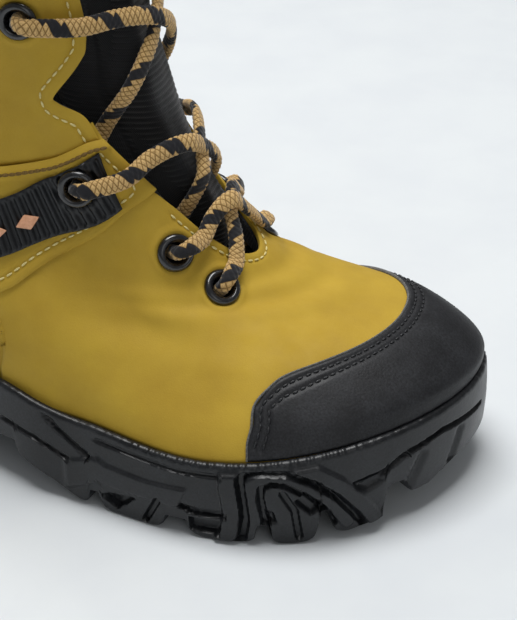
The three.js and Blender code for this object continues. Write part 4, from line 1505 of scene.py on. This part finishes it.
FOREFOOT = (
    Patch(((117, 19.2), (131, 18.5), (147, 19.9), (149, 21.6), (163, 17.1), (163, 5.5), (149, 11.8),
           (120, 11.4)), -1.1, 1.2),
    Stroke(((172, 36.5), (166, 29.1), (154, 20.6)), 0.6, 1.8),
    Stroke(((186, 26.2), (174, 23.5), (162, 17.6)), 0.5, 1.4),
    Patch(((149, 6), (145, 8.4), (136, 9.4), (143, 2.9)), 3.0),
    Stroke(((127, 12.1), (132, 2)), 0.7, 1.8),
    Patch(((119, 12.9), (114, 12.2), (104, 12.8), (104, 9.9), (114, 9.4), (120, 11)), 1.9),
    Patch(((116, 8), (106, 8), (106, 3), (116, 3)), 2.4),
    Stroke(((63, 21.5), (53, 23.2), (46, 27), (29, 29.6), (6, 27)), 0.6, 1.9),
    Patch(((63, 20.2), (53, 23.2), (54, 19.4), (59, 17.4)), 2.0, 1.8),
    Stroke(((44, 12), (38, 24)), 0.7, 1.1, 1.5),
    Stroke(((24, 15), (20, 25)), 0.7, 1.1, 1.5),
    Stroke(((150, 28), (120, 25.5), (106, 26)), 0.5, 1.0),
)
UNDERSIDE = curve((0, 15), (20, 14), (30, 11.5), (36, 9.8), (40, 10), (43, 12), (44.5, 16), (51, 16),
                  (52.5, 8), (54, 4.6), (57, 3.4), (61, 3), (65, 2.4), (68.5, 3.4), (70.5, 7), (71.6, 12),
                  (74, 12), (75.2, 5), (76.5, 1.6), (79, 0.4), (83, 0), (87, 0.2), (89.4, 1.6), (91, 7.2),
                  (94, 7.2), (95.4, 1.8), (98, 0.4), (102, 0), (111, 0), (114.5, 0.8), (116.5, 2.6),
                  (117.6, 5.8), (124.4, 5.8), (125.8, 2.4), (128, 0.6), (131, 0), (145, 0), (147.6, 0.8),
                  (149.2, 2.6), (150.4, 6.2), (153.4, 6.2), (154.8, 2), (157, 1), (160, 2), (164, 4.2),
                  (168, 6.6), (174, 9.6), (179, 12.4), (180.8, 14), (181.8, 18), (200, 16.5), (217, 14),
                  (221, 3), (223, 1), (226, 0), (234, 0), (237, 1.2), (239.4, 6.5), (243, 6.5),
                  (245, 1.4), (248, 0), (253, 0), (256, 1.2), (257.6, 6.5), (261, 6.5), (263, 1.4),
                  (266, 0), (271, 0), (274, 1.2), (275.6, 6.5), (279, 6.5), (281, 1.4), (284, 0.4),
                  (300, 1.2))
HEEL_MIRROR = 328


@dataclass
class Sole:
    """One moulded sole unit: bead, sculpted wall, edge lugs and chevron lugs."""

    last: Last
    wear: Wardrobe
    out: float = 3.5
    tread: float = 6
    drop: float = 2.2
    bead: float = 1.3
    heel_bead: float = 5.2
    lug_depth: float = 15
    half_stations: int = 470
    wall_rows: int = 66
    spring: float = 12
    spring_from: float = 0.76

    def build(self) -> None:
        """Builds the sole."""
        a, back = self.stations()
        s = (1 - np.cos(a * math.pi)) / 2
        feather = self.last.skin(a, 0)[:, 2]
        top = feather + self.bead + self.heel_bead * blur((back - 158) / 30)
        low = UNDERSIDE(back)
        base = self.tread + self.spring * np.clip((s - self.spring_from) / (1 - self.spring_from), 0, 1) ** 2
        base = np.maximum(base, low)
        ripple = (np.sin(back * 1.9) + np.sin(back * 3.1 + 1) + 0.8 * np.sin(back * 0.7 + 2)) / 3
        rows = [self.spine(a, feather - self.drop)]
        for offset, z in ((-9, feather - self.drop), (-1.2, feather - self.drop), (0.2, top - 0.9),
                          (1.0, top - 0.1), (1.8, top + 0.1), (2.7, top - 0.2), (3.3, top - 0.9)):
            lumps = ripple if offset > 0 else 0
            rows.append(self.ring(a, offset + 0.22 * lumps, z + 0.25 * lumps))
        wall_top, wall_low = top - 1.9, low + 0.8
        for t in np.linspace(0, 1, self.wall_rows):
            z = wall_top + (wall_low - wall_top) * t
            bulge = 0.5 * math.sin(math.pi * t)
            rows.append(self.ring(a, self.out + bulge - self.relief(back, z, t), z))
        for offset, z in ((self.out - 0.8, low), (self.out - self.lug_depth, low),
                          (self.out - self.lug_depth - 0.8, base)):
            rows.append(self.ring(a, offset, z))
        rows.append(self.spine(a, base))
        points = self.last.seat(np.stack(rows))
        body = lay_grid("sole_body", points, weld=True)
        smooth(body, 42)
        sole = join("sole", [body, *self.chevrons()])
        dress(sole, self.wear.rubber, "sole_rubber", BOOT, "outsole", "midsole")

    def stations(self) -> tuple[Array, Array]:
        """Turn positions round the whole sole, the same on both sides.

        Returns:
            Turn positions from 0 to 2, and distances back from the toe.
        """
        fine = np.linspace(0, 1, 2001)
        run = np.zeros(len(fine))
        runs = []
        for mirror in (False, True):
            line = self.last.rim(2 - fine if mirror else fine, 0.0)
            runs.append(run_of(line))
            run = run + runs[-1] / 2
        from_toe = run[-1] - run
        dense = 1 + 1.6 * blur((from_toe - 45) / 12) * (1 - blur((from_toe - 118) / 12))
        dense += 1.0 * blur((from_toe - 205) / 12)
        weight = np.r_[0, np.cumsum((dense[1:] + dense[:-1]) / 2 * np.diff(run))]
        half = np.interp(np.linspace(0, weight[-1], self.half_stations + 1), weight, fine)
        a = np.r_[half, (2 - half[::-1])[1:]]
        back = np.where(a <= 1, runs[0][-1] - np.interp(a, fine, runs[0]),
                        runs[1][-1] - np.interp(2 - a, fine, runs[1]))
        scale = np.where(a <= 1, 1.0, runs[0][-1] / runs[1][-1])
        LOG.info("sole edge: %.0f mm lateral, %.0f mm medial", runs[0][-1], runs[1][-1])
        return a, back * scale

    def ring(self, a: Array, offset: Array | float, z: Array) -> Array:
        """Points round the sole at an offset from the feather line.

        Args:
            a: turn positions.
            offset: millimetres outwards.
            z: heights.

        Returns:
            The points.
        """
        points = self.last.rim(a, np.broadcast_to(offset, a.shape))
        points[:, 2] = z
        return points

    def spine(self, a: Array, z: Array) -> Array:
        """The middle line that closes the deck and the tread, clamped away from toe and heel.

        Args:
            a: turn positions.
            z: heights.

        Returns:
            The points.
        """
        held = np.clip(np.where(a <= 1, a, 2 - a), 0.22, 0.84)
        middle = (self.last.rim(held, 0.0) + self.last.rim(2 - held, 0.0)) / 2
        order = np.where(a <= 1, a, 2 - a)
        half = order[: self.half_stations + 1]
        middle[:, 2] = np.interp(held, half, z[: self.half_stations + 1])
        return middle

    def relief(self, back: Array, z: Array, t: float) -> Array:
        """How far the wall is pressed in at each station of one row.

        Args:
            back: distance back from the toe.
            z: heights.
            t: the row's place, 0 top to 1.

        Returns:
            Millimetres inwards.
        """
        points = np.stack([back, z], axis=1)
        heel = np.stack([HEEL_MIRROR - back, z], axis=1)
        total = np.zeros(len(back))
        for mark in ARCH:
            total += np.where(back > 205, mark.field(heel), mark.field(points))
        for mark in FOREFOOT:
            total += np.where(back > 205, 0, mark.field(points))
        fade = blur(t / 0.06) * (1 - blur((t - 0.97) / 0.03))
        return np.clip(total, -1.6, 3.4) * fade

    def chevrons(self) -> list[bpy.types.Object]:
        """Builds the chevron lugs down the middle of the tread.

        Returns:
            The lugs.
        """
        made = []
        for k in range(7):
            s = 0.14 + 0.72 * k / 6
            a = math.acos(1 - 2 * s) / math.pi
            middle = (self.last.rim(np.array([a]), 0.0) + self.last.rim(np.array([2 - a]), 0.0))[0] / 2
            rise = self.spring * max((s - self.spring_from) / (1 - self.spring_from), 0) ** 2
            lift = 10.5 if 0.2 < s < 0.45 else 0.0
            bpy.ops.object.select_all(action="DESELECT")
            bpy.ops.mesh.primitive_cube_add(size=1)
            lug = bpy.context.object
            edit(lug, lambda: bpy.ops.mesh.subdivide(number_cuts=1))
            p = coords(lug)
            x = middle[0] + p[:, 0] * 13 + 4 * (1 - 4 * np.abs(p[:, 1]))
            y = middle[1] + p[:, 1] * 18
            z = rise + lift + (p[:, 2] + 0.5) * (self.tread + 1)
            set_coords(lug, self.last.seat(np.stack([x, y, z], axis=1)))
            modify(lug, "BEVEL", width=0.8 * MM, segments=2, limit_method="ANGLE")
            smooth(lug, 40)
            made.append(lug)
        return made


# ---------- tongue, linings and collar ----------
THROAT_HALF = curve((0.46, 0.01), (0.5, 0.02), (0.515, 0.07), (0.555, 0.115), (0.614, 0.16), (0.645, 0.215),
                    (0.7, 0.25), (0.757, 0.3), (0.812, 0.245), (0.885, 0.2), (1, 0.2))
TONGUE_HALF = curve((0.46, 0.15), (0.6, 0.22), (0.7, 0.33), (0.76, 0.36), (0.85, 0.28), (1.06, 0.26))
TONGUE_EDGE, TONGUE_PROUD = -12.9, 1.0
UNDER_STRAND = -10.2


def tongue_crest(v: Array) -> Array:
    """Offset of the tongue's face along its middle."""
    return TONGUE_EDGE + (TONGUE_PROUD - TONGUE_EDGE) * blur((THROAT_HALF(v) - 0.07) / 0.08)


def tongue_face(a: Array, v: Array) -> Array:
    """Offset of the tongue's outer face.

    Args:
        a, v: turn positions and height fractions.

    Returns:
        Millimetres outwards.
    """
    half = THROAT_HALF(v)
    t = blur((np.abs(a - 1) - 0.25 * half) / (0.35 * half))
    return tongue_crest(v) + (TONGUE_EDGE - tongue_crest(v)) * t


def inflate(obj: bpy.types.Object, pressure: float, cap: float) -> Array:
    """Swells a closed piece with Cloth, and caps how far a point moves.

    Args:
        obj: the closed mesh.
        pressure: the cloth's inner pressure.
        cap: largest move in millimetres.

    Returns:
        The capped move of each vertex, in metres.
    """
    start = coords(obj)
    only(obj)
    cloth = obj.modifiers.new("Cloth", "CLOTH")
    cloth.settings.use_pressure = True
    cloth.settings.uniform_pressure_force = pressure
    cloth.settings.quality = 5
    cloth.settings.effector_weights.gravity = 0
    scene = bpy.context.scene
    for frame in range(1, 21):
        scene.frame_set(frame)
    bpy.ops.object.modifier_apply(modifier=cloth.name)
    scene.frame_set(1)
    move = coords(obj) - start
    move -= move.mean(axis=0)
    size = np.linalg.norm(move, axis=1, keepdims=True)
    move *= np.minimum(1, cap * MM / np.maximum(size, 1e-9))
    set_coords(obj, start + move)
    return move


def refine(grid: Array, rows: int, columns: int) -> Array:
    """A finer grid through a grid's points.

    Args:
        grid: (m, n, 3) points.
        rows: new row count.
        columns: new column count.

    Returns:
        (rows, columns, 3) points.
    """
    tall = through(grid.reshape(grid.shape[0], -1), rows).reshape(rows, grid.shape[1], 3)
    wide = through(tall.transpose(1, 0, 2).reshape(grid.shape[1], -1), columns)
    return wide.reshape(columns, rows, 3).transpose(1, 0, 2)


@dataclass
class Inside:
    """Padded tongue, linings and collar roll."""

    last: Last
    wear: Wardrobe
    tongue_thick: float = 5.0
    rib_pitch: float = 2.0
    rib_height: float = 0.3
    collar_radius: float = 4.2

    def build(self) -> None:
        """Builds the soft parts inside the shell."""
        self.tongue()
        self.linings()
        self.collar()

    def tongue_grid(self, rows: int, columns: int) -> Array:
        """The tongue as a closed loop of columns on each row, thin at its edges.

        Args:
            rows: points along the tongue.
            columns: points across each face.

        Returns:
            (rows, 2 * columns - 1, 3) points in metres.
        """
        across = np.linspace(-1, 1, columns)
        turn = np.r_[across, across[::-1][1:]]
        face = np.r_[np.ones(columns), -np.ones(columns - 1)]
        v, t = np.meshgrid(np.linspace(0.46, 1.06, rows), turn, indexing="ij")
        a = 1 + TONGUE_HALF(v) * t
        up = np.linspace(-1, 1, rows)[:, None]
        thick = self.tongue_thick / 2 * (1 - t**8) ** 0.5 * (1 - np.abs(up) ** 22) ** 0.5
        middle = tongue_face(a, v) - self.tongue_thick / 2
        return self.last.place(a, v, middle + face[None, :] * thick)

    def tongue(self) -> None:
        """Builds the padded tongue: swelled as cloth, then ribbed across."""
        coarse = self.tongue_grid(61, 33)
        trial = lay_grid("tongue_trial", coarse, weld=True)
        tree = tree_of(coords(trial))
        move = inflate(trial, 4.0, 1.2)
        index = np.array([tree.find(p)[1] for p in coarse.reshape(-1, 3)])
        coarse = coarse + move[index].reshape(coarse.shape)
        bpy.data.objects.remove(trial)
        rows, columns = 520, 97
        grid = refine(coarse, rows, columns)
        grid[:, -1] = grid[:, 0]
        middle = grid[:, columns // 4]
        run = run_of(middle)
        along, across = np.gradient(grid, axis=0), np.gradient(grid, axis=1)
        normal = np.cross(across, along)
        normal /= np.maximum(np.linalg.norm(normal, axis=-1, keepdims=True), 1e-12)
        front = np.arange(columns) <= columns // 2
        edge = blur(np.minimum(np.arange(columns), columns // 2 - np.arange(columns)) / 4) * front
        ribs = self.rib_height * np.abs(np.sin(math.pi * run / (self.rib_pitch * MM)))
        ends = blur(np.minimum(np.arange(rows), rows - 1 - np.arange(rows)) / 12)
        grid = grid + normal * (ribs * ends)[:, None, None] * edge[None, :, None] * MM
        wide = run_of(grid[rows // 2])
        uv = np.stack(np.broadcast_arrays(wide[None, :], run[:, None]), axis=-1)
        tongue = lay_grid("tongue_pad", grid, uv, weld=True)
        smooth(tongue, 60)
        dress(tongue, self.wear.ribbed, "textile", TONGUE, "tongue")
        levels = (0.53, 0.6, 0.66, 0.72, 0.78, 0.85, 0.95, 1.05)
        rows_v = [[(1 + float(TONGUE_HALF(v)) * t * 0.97, v) for t in np.linspace(-1, 1, 9)]
                  for v in levels]

        def behind(a: Array, v: Array, i: Array, j: Array) -> Array:
            """Just behind the tongue's pad."""
            return tongue_face(a, v) - self.tongue_thick - 0.9

        lining = Panel("tongue_backing", rows_v, behind, 1.0, 70, 80, roll=(0, 1),
                       bevel=0.2).build(self.last)
        dress(lining, self.wear.mesh, "textile", TONGUE, "tongue_lining")

    def linings(self) -> None:
        """Builds the linings, which rise to the leather at their edges."""
        rows = []
        for front, v_front, v_heel in REAR:
            t = np.linspace(-1, 1, 25)
            rows.append([(k * (front - 0.012), v_heel + (v_front - v_heel) * abs(k) ** 2.3) for k in t])

        def soft(a: Array, v: Array, i: Array, j: Array) -> Array:
            """Pressed out by padding, and level with the leather at its edges."""
            return -1.55 - 3.4 * blur(np.minimum(i, 1 - i) / 0.05) * blur((1 - j) / 0.06)

        holes = [(-side.value * a, v) for side in Side for a, v in EYELETS[STRAP_LEVEL:]]
        shaft = Panel("shaft_lining", rows, soft, 1.0, 300, 130, holes, roll=(0, 1), bevel=0.0,
                      hole=4.4).build(self.last)
        dress(shaft, self.wear.mesh, "textile", BOOT, "shaft_lining", "ankle_padding")
        low = both([(a, 0.0) for a in (0.385, 0.42, 0.5, 0.58, 0.66, 0.74, 0.82, 0.91, 1)])
        high = both([(a, v - 0.012) for a, v in (*VAMP_REAR, *THROAT)])

        def fore(a: Array, v: Array, i: Array, j: Array) -> Array:
            """Deep in the vamp, and level with the leather at its top edge."""
            return -1.55 - 4.4 * blur((1 - j) / 0.08)

        holes = [(side.turn(a), v) for side in Side for a, v in EYELETS[:STRAP_LEVEL]]
        vamp = Panel("vamp_lining", [low, high], fore, 1.0, 220, 70, holes, roll=(0, 1), bevel=0.0,
                     hole=4.4).build(self.last)
        dress(vamp, self.wear.mesh, "textile", BOOT, "vamp_lining")

    def collar(self) -> None:
        """Builds the padded roll round the shaft's top: swelled as cloth."""
        a = np.linspace(-0.79, 0.79, 150)
        path = self.last.place(a, np.ones(150), -3.45)
        path[:, 2] = (self.last.skin(a, 1)[:, 2] + self.collar_radius + 0.8) * MM
        size = self.collar_radius * MM * np.sqrt(np.clip(1 - np.linspace(-1, 1, 150) ** 12, 0.12, 1))
        roll = sweep("collar_pad", path, self.last.outward(a, np.ones(150)), size, size, 20,
                     girth=2 * math.pi * self.collar_radius * MM)
        inflate(roll, 4.0, 0.8)
        modify(roll, "SUBSURF", levels=1, render_levels=1)
        smooth(roll, 60)
        dress(roll, self.wear.mesh, "textile", BOOT, "collar")
        seam = [Stitching(np.stack([np.mod(a, 2), np.full(150, 0.998)], axis=1)[k], 0.3)
                for k in (slice(0, 74), slice(76, 150))]
        sew("collar_stitching", seam, self.last, self.wear.black_thread, "textile")


# ---------- eyelets and lace ----------
@dataclass
class Lacing:
    """Rolled eyelets and one flat braided lace, criss-crossed, with its ends tucked into the shaft."""

    last: Last
    wear: Wardrobe
    half_wide: float = 2.9
    half_thin: float = 1.5
    seat: float = 0.4
    plate_seat: float = 3.0
    flange: float = 6.4
    bore: float = 3.5
    braid_mm: float = 1.9
    crossings: tuple[float, ...] = (0.597, 0.685, 0.845, 0.94)

    def __post_init__(self) -> None:
        """Lists the eyelets by side and level."""
        self.sites = {(side, level): (side.turn(a), v) for side in Side
                      for level, (a, v) in enumerate(EYELETS)}

    def seat_of(self, level: int) -> float:
        """Height of an eyelet's flange over the last."""
        return self.plate_seat if level == STRAP_LEVEL else self.seat

    def build(self) -> None:
        """Builds the eyelets and the lace. The free ends are built first, by free_ends."""
        self.eyelets()
        self.laced()

    def frame_at(self, site: tuple[Side, int]) -> tuple[Array, Array]:
        """An eyelet's centre, in the last's own millimetres, and its axis."""
        a, v = self.sites[site]
        return self.last.skin(a, v), self.last.outward(a, v)

    def eyelets(self) -> None:
        """Builds the rolled eyelets: one lathe, copied."""
        for (side, level) in self.sites:
            high = self.seat_of(level)
            profile = np.array([(self.bore, -6.5), (self.bore, high + 0.7), (3.75, high + 1.3),
                                (4.3, high + 1.75), (4.95, high + 1.9), (5.6, high + 1.7),
                                (6.15, high + 1.2), (self.flange, high + 0.55), (6.3, high),
                                (6.0, high - 0.4), (4.4, high - 0.5), (4.4, -6.5), (self.bore, -6.5)])
            points = lathe(profile, 32) * MM
            at, axis = self.frame_at((side, level))
            turn = np.array(Vector((0, 0, 1)).rotation_difference(Vector(axis)).to_matrix())
            rim = lay_grid(f"rolled_eyelet_{side.word}_{level + 1}", points @ turn.T + self.last.seat(at),
                           weld=True)
            smooth(rim, 50)
            dress(rim, self.wear.lacquer, "eyelet_metal", BOOT, f"eyelet_{side.word}_{level + 1}")

    def turn_at(self, site: tuple[Side, int], outside: bool, toward: Array | None = None) -> list[Array]:
        """Points from an eyelet's axis to a strand that leaves it.

        Args:
            site: the eyelet.
            outside: whether the strand lies outside the boot.
            toward: the strand's nearest point, or None for an end that is tucked into the shaft.

        Returns:
            Three points.
        """
        at, axis = self.frame_at(site)
        a, v = self.sites[site]
        sign = 1 if site[0] is Side.LATERAL else -1
        ahead = self.last.skin(a - sign * 0.04, v - 0.1) if toward is None else toward
        lead = ahead - at
        lead -= axis * (lead @ axis)
        lead /= np.linalg.norm(lead)
        clear = self.seat_of(site[1]) + 1.9 + self.half_thin + 0.5 if outside else UNDER_STRAND
        back = -1 if outside else 1
        steps = ((back * 2.0 + clear, 0.2), (back * 0.3 + clear, 1.8), (clear, 5.2))
        return [at + axis * h + lead * drift for h, drift in steps]

    def crossing(self, site: tuple[Side, int], inner: Array | None, outer: Array) -> list[Array]:
        """Points through an eyelet, from its inside to its outside.

        Args:
            site: the eyelet.
            inner: the inside strand's nearest point, or None for a tucked end.
            outer: the outside strand's nearest point.

        Returns:
            The points.
        """
        return [*self.turn_at(site, False, inner)[::-1], *self.through_hole(site),
                *self.turn_at(site, True, outer)]

    def through_hole(self, site: tuple[Side, int]) -> list[Array]:
        """Points of the lace inside an eyelet."""
        at, axis = self.frame_at(site)
        return [at + axis * h for h in (-3.0, 0.0)]

    def strand(self, start: tuple[Side, int], end: tuple[Side, int], outside: tuple[bool, bool],
               lift: float) -> list[Array]:
        """Points of a strand between two eyelets.

        Args:
            start: the eyelet it leaves.
            end: the eyelet it reaches.
            outside: whether it lies outside at each of them.
            lift: how far its middle rises over the strand that it crosses.

        Returns:
            The points.
        """
        (a0, v0), (a1, v1) = self.sites[start], self.sites[end]
        made = []
        rise = self.crossings[min(start[1], end[1])] - (v0 + v1) / 2
        for t in (0.18, 0.3, 0.41, 0.5, 0.59, 0.7, 0.82):
            a = a0 + (a1 - a0) * t
            v = v0 + (v1 - v0) * t + rise * math.sin(math.pi * t) ** 1.5
            near = t < 0.5
            out, site = outside[0 if near else 1], start if near else end
            if out:
                rest = max(float(tongue_crest(v)) + 0.3, self.cover(a, v, site[1] == STRAP_LEVEL))
            else:
                rest = max(float(tongue_face(a - 0.03, v)), float(tongue_face(a + 0.03, v))) + 0.3
            over = rest + self.half_thin + 0.6 + lift * math.exp(-(((t - 0.5) / 0.12) ** 2))
            made.append(self.last.skin(a, v) + self.last.outward(a, v) * over)
        return made

    def cover(self, a: float, v: float, plate: bool) -> float:
        """Height of what an outside strand crosses: tongue, leather, the strap's end or its plate.

        Args:
            a, v: the place.
            plate: whether the strand starts on the strap's plate.

        Returns:
            Its offset.
        """
        reach = abs(a - 1)
        if reach < float(THROAT_HALF(v)) - 0.05:
            return TONGUE_EDGE
        if not plate:
            return 0.4
        return 3.0 if reach > 0.22 else 1.6

    def route(self) -> Array:
        """The lace's whole route.

        Returns:
            (n, 3) points in the last's own millimetres.
        """
        lat, med = Side.LATERAL, Side.MEDIAL
        chain = [(lat, 4), (med, 3), (lat, 2), (med, 1), (lat, 0)]
        over = 2 * self.half_thin + 0.3
        down = [self.strand(site, chain[i + 1], (True, i == len(chain) - 2), 0.0 if i % 2 else over)
                for i, site in enumerate(chain[:-1])]
        p, q = self.sites[(lat, 0)], self.sites[(med, 0)]
        under = []
        for t in (0.3, 0.5, 0.7):
            a = p[0] + (q[0] - p[0]) * t
            under.append(self.last.skin(a, p[1]) + self.last.outward(a, p[1]) * UNDER_STRAND)
        back = [(med if side is lat else lat, level) for side, level in chain[::-1]]
        up = [self.strand(site, back[i + 1], (i == 0, True), 0.0 if i % 2 else over)
              for i, site in enumerate(back[:-1])]
        made: list[Array] = []
        for i, site in enumerate(chain[:-1]):
            made += [*self.crossing(site, down[i - 1][-1] if i else None, down[i][0]), *down[i]]
        made += [*self.crossing(chain[-1], under[0], down[-1][-1])[::-1], *under,
                 *self.crossing(back[0], under[-1], up[0][0]), *up[0]]
        for i, site in enumerate(back[1:], 1):
            inner = up[i][0] if i < len(up) else None
            made += self.crossing(site, inner, up[i - 1][-1])[::-1]
            if i < len(up):
                made += up[i]
        return np.array(made)

    def braid(self, run: Array, turn: Array) -> Array:
        """Height of the braid's strands over the lace's plain oval.

        Args:
            run: metres along the lace.
            turn: place round it, 0 to 1.

        Returns:
            The extra radius in metres.
        """
        cross = run / (self.braid_mm * MM)
        one = np.abs(np.sin(math.pi * (cross + 5 * turn)))
        two = np.abs(np.sin(math.pi * (cross - 5 * turn)))
        return 0.42 * MM * (np.minimum(one, two) ** 0.7 - 0.5)

    def laced(self) -> None:
        """Builds the laced part of the lace."""
        knots = self.route()
        line = spline(knots, 2700) + self.last.shift
        holes = np.array([self.frame_at(site)[0] + self.last.shift for site in self.sites])
        near = np.min(np.linalg.norm(line[:, None] - holes[None], axis=2), axis=1)
        open_ = blur((near - 3.5) / 4.5)
        half = (2.3 + (self.half_wide - 2.3) * open_) * MM
        thin = (2.0 + (self.half_thin - 2.0) * open_) * MM
        a, v = np.meshgrid(np.linspace(0.6, 1.4, 80), np.linspace(0.4, 1, 50), indexing="ij")
        grid, out = self.last.place(a, v).reshape(-1, 3), self.last.outward(a, v).reshape(-1, 3)
        tree = tree_of(grid)
        facing = np.array([out[tree.find(p * MM)[1]] for p in line])
        lace = sweep("braided_lace", line * MM, facing, half, thin, 32, self.braid,
                     1 / (self.braid_mm * MM), power=0.85)
        dress(lace, self.wear.lace, "lace_cord", BOOT, "lace")

    def free_ends(self) -> None:
        """Builds the two free ends that hang inside the shaft, each with its aglet."""
        knots = np.array([(-36, 21.2, 173.7), (-36.4, 21.2, 170), (-39.5, 21.5, 162), (-44, 21.8, 149),
                          (-48, 22, 132), (-50, 22.2, 112), (-51, 22.3, 94), (-51, 22.3, 78)], dtype=float)
        for side in Side:
            line = spline(knots * np.array([1, side.value, 1]), 240)
            path = self.last.seat(line)
            facing = np.tile(np.array([0.0, side.value, 0.0]), (len(path), 1))
            end = sweep(f"lace_tail_{side.word}", path, facing, np.full(240, 2.2 * MM),
                        np.full(240, 1.5 * MM), 20, self.braid, 1 / (self.braid_mm * MM))
            dress(end, self.wear.lace, "lace_cord", BOOT, f"lace_end_{side.word}")
            tip = line[-1]
            top = tip[2] - 0.3
            profile = [(0, top), (1.3, top), (1.65, top - 0.5), (1.7, top - 2), (1.6, top - 8),
                       (1.7, top - 15), (1.3, top - 16), (0, top - 16)]
            points = lathe(profile, 24) + np.array([tip[0], tip[1], 0])
            aglet = lay_grid(f"lace_tip_{side.word}", self.last.seat(points), weld=True)
            smooth(aglet, 50)
            dress(aglet, self.wear.plastic, "aglet_plastic", BOOT, f"aglet_{side.word}")


# ---------- pull loop ----------
@dataclass
class PullLoop:
    """Webbing loop on the heel."""

    last: Last
    wear: Wardrobe
    width: float = 14
    depth: float = 8
    height: float = 30
    web: float = 1.6
    below: float = 12

    def build(self) -> None:
        """Builds the loop: one flat band bent round."""
        back = float(self.last.back_x(np.array(1.0))) - LOOP_GAP - self.depth / 2
        low = float(self.last.back_z(np.array(1.0))) - self.below + self.depth / 2
        r, h = (self.depth - self.web) / 2, self.height - self.depth
        half_turn = np.linspace(0, math.pi, 12)
        up = [(back + r * math.cos(t), low + h + r * math.sin(t)) for t in half_turn]
        down = [(back + r * math.cos(t), low + r * math.sin(t)) for t in half_turn + math.pi]
        start = [(back + r, low + h / 2)]
        ring = np.array([*start, *up, (back - r, low + h / 2), *down, *start])
        line = spline(np.stack([ring[:, 0], np.zeros(len(ring)), ring[:, 1]], axis=1), 260)
        centre = np.array([back, 0.0, low + h / 2])
        facing = line - centre
        facing[:, 2] *= 0.15
        loop = sweep("pull_tab", self.last.seat(line), facing, np.full(260, self.width / 2 * MM),
                     np.full(260, self.web / 2 * MM), 24, power=0.45,
                     girth=2 * (self.width + self.web) * MM)
        dress(loop, self.wear.webbing, "webbing", LOOP, "pull_loop")


# ---------- studio ----------
@dataclass
class Studio:
    """Pale floor, soft light and the camera, in metres."""

    target: tuple[float, float, float] = (0.00541, 0.00709, 0.060)
    back: tuple[float, float, float] = (0.3110, -0.8102, 0.4970)
    distance: float = 0.650
    lens: float = 109.45
    aside: tuple[float, float] = (94.5 / 1885, 34 / 1885)

    def camera(self) -> None:
        """Adds the camera, aimed a little off the target with no shift."""
        back = Vector(self.back).normalized()
        right = Vector((0, 0, 1)).cross(back).normalized()
        up = back.cross(right)
        look = (-back + right * self.aside[0] - up * self.aside[1]).normalized()
        bpy.ops.object.camera_add(location=Vector(self.target) + back * self.distance)
        made = bpy.context.object
        made.data.lens = self.lens
        made.data.clip_start = 0.01
        made.rotation_euler = look.to_track_quat("-Z", "Y").to_euler()
        bpy.context.scene.camera = made

    def light(self) -> None:
        """Adds the overhead softbox, a fill and a pale world."""
        for name, spot, size, power in (("overhead", (-0.1, 0.05, 1.7), 1.0, 29.0),
                                        ("front", (0.9, -1.3, 0.9), 1.0, 2.5),
                                        ("rim", (-1.0, 1.0, 1.0), 0.8, 5.0)):
            bpy.ops.object.light_add(type="AREA", location=spot)
            lamp = bpy.context.object
            lamp.name = name
            lamp.data.size = size
            lamp.data.energy = power
            lamp.rotation_euler = (Vector(self.target) - Vector(spot)).to_track_quat("-Z", "Y").to_euler()
        world = bpy.data.worlds.new("studio")
        bpy.context.scene.world = world
        world.use_nodes = True
        sky = world.node_tree.nodes["Background"]
        sky.inputs["Color"].default_value = srgb(0xECEEF0)
        sky.inputs["Strength"].default_value = 0.26
        bpy.context.scene.view_settings.view_transform = "Standard"

    def floor(self) -> None:
        """Adds the floor sheet."""
        bpy.ops.object.select_all(action="DESELECT")
        bpy.ops.mesh.primitive_plane_add(size=6)
        sheet = bpy.context.object
        sheet.name = "floor"
        sheet.data.materials.append(Plain("painted_floor", 0xD9DDDF, 0xD5D9DC, 40, 0.8, bump=0.0).build())


def dress_frame(wear: Wardrobe) -> None:
    """Gives the CAD nodes that stay their finishes.

    Args:
        wear: the finishes.
    """
    finishes = {"shank": wear.steel, "insole_board": wear.board, "toe_puff": wear.board,
                "heel_counter": wear.board, "footbed": wear.foam}
    for name, finish in finishes.items():
        for obj in bpy.data.objects:
            if obj.type == "MESH" and obj.name == name:
                obj.data.materials.clear()
                obj.data.materials.append(finish)
                LOG.info("%s: dressed", name)


def main() -> None:
    """Builds the boot around its frame."""
    logging.basicConfig(level=logging.INFO, format="%(message)s", stream=sys.stdout)
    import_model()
    last = seat_of_last()
    wear = Wardrobe()
    studio = Studio()
    studio.camera()
    lacing = Lacing(last, wear)
    lacing.free_ends()
    studio.light()
    studio.floor()
    dress_frame(wear)
    Upper(last, wear).build()
    Sole(last, wear).build()
    Inside(last, wear).build()
    lacing.build()
    PullLoop(last, wear).build()


if __name__ == "__main__":
    main()
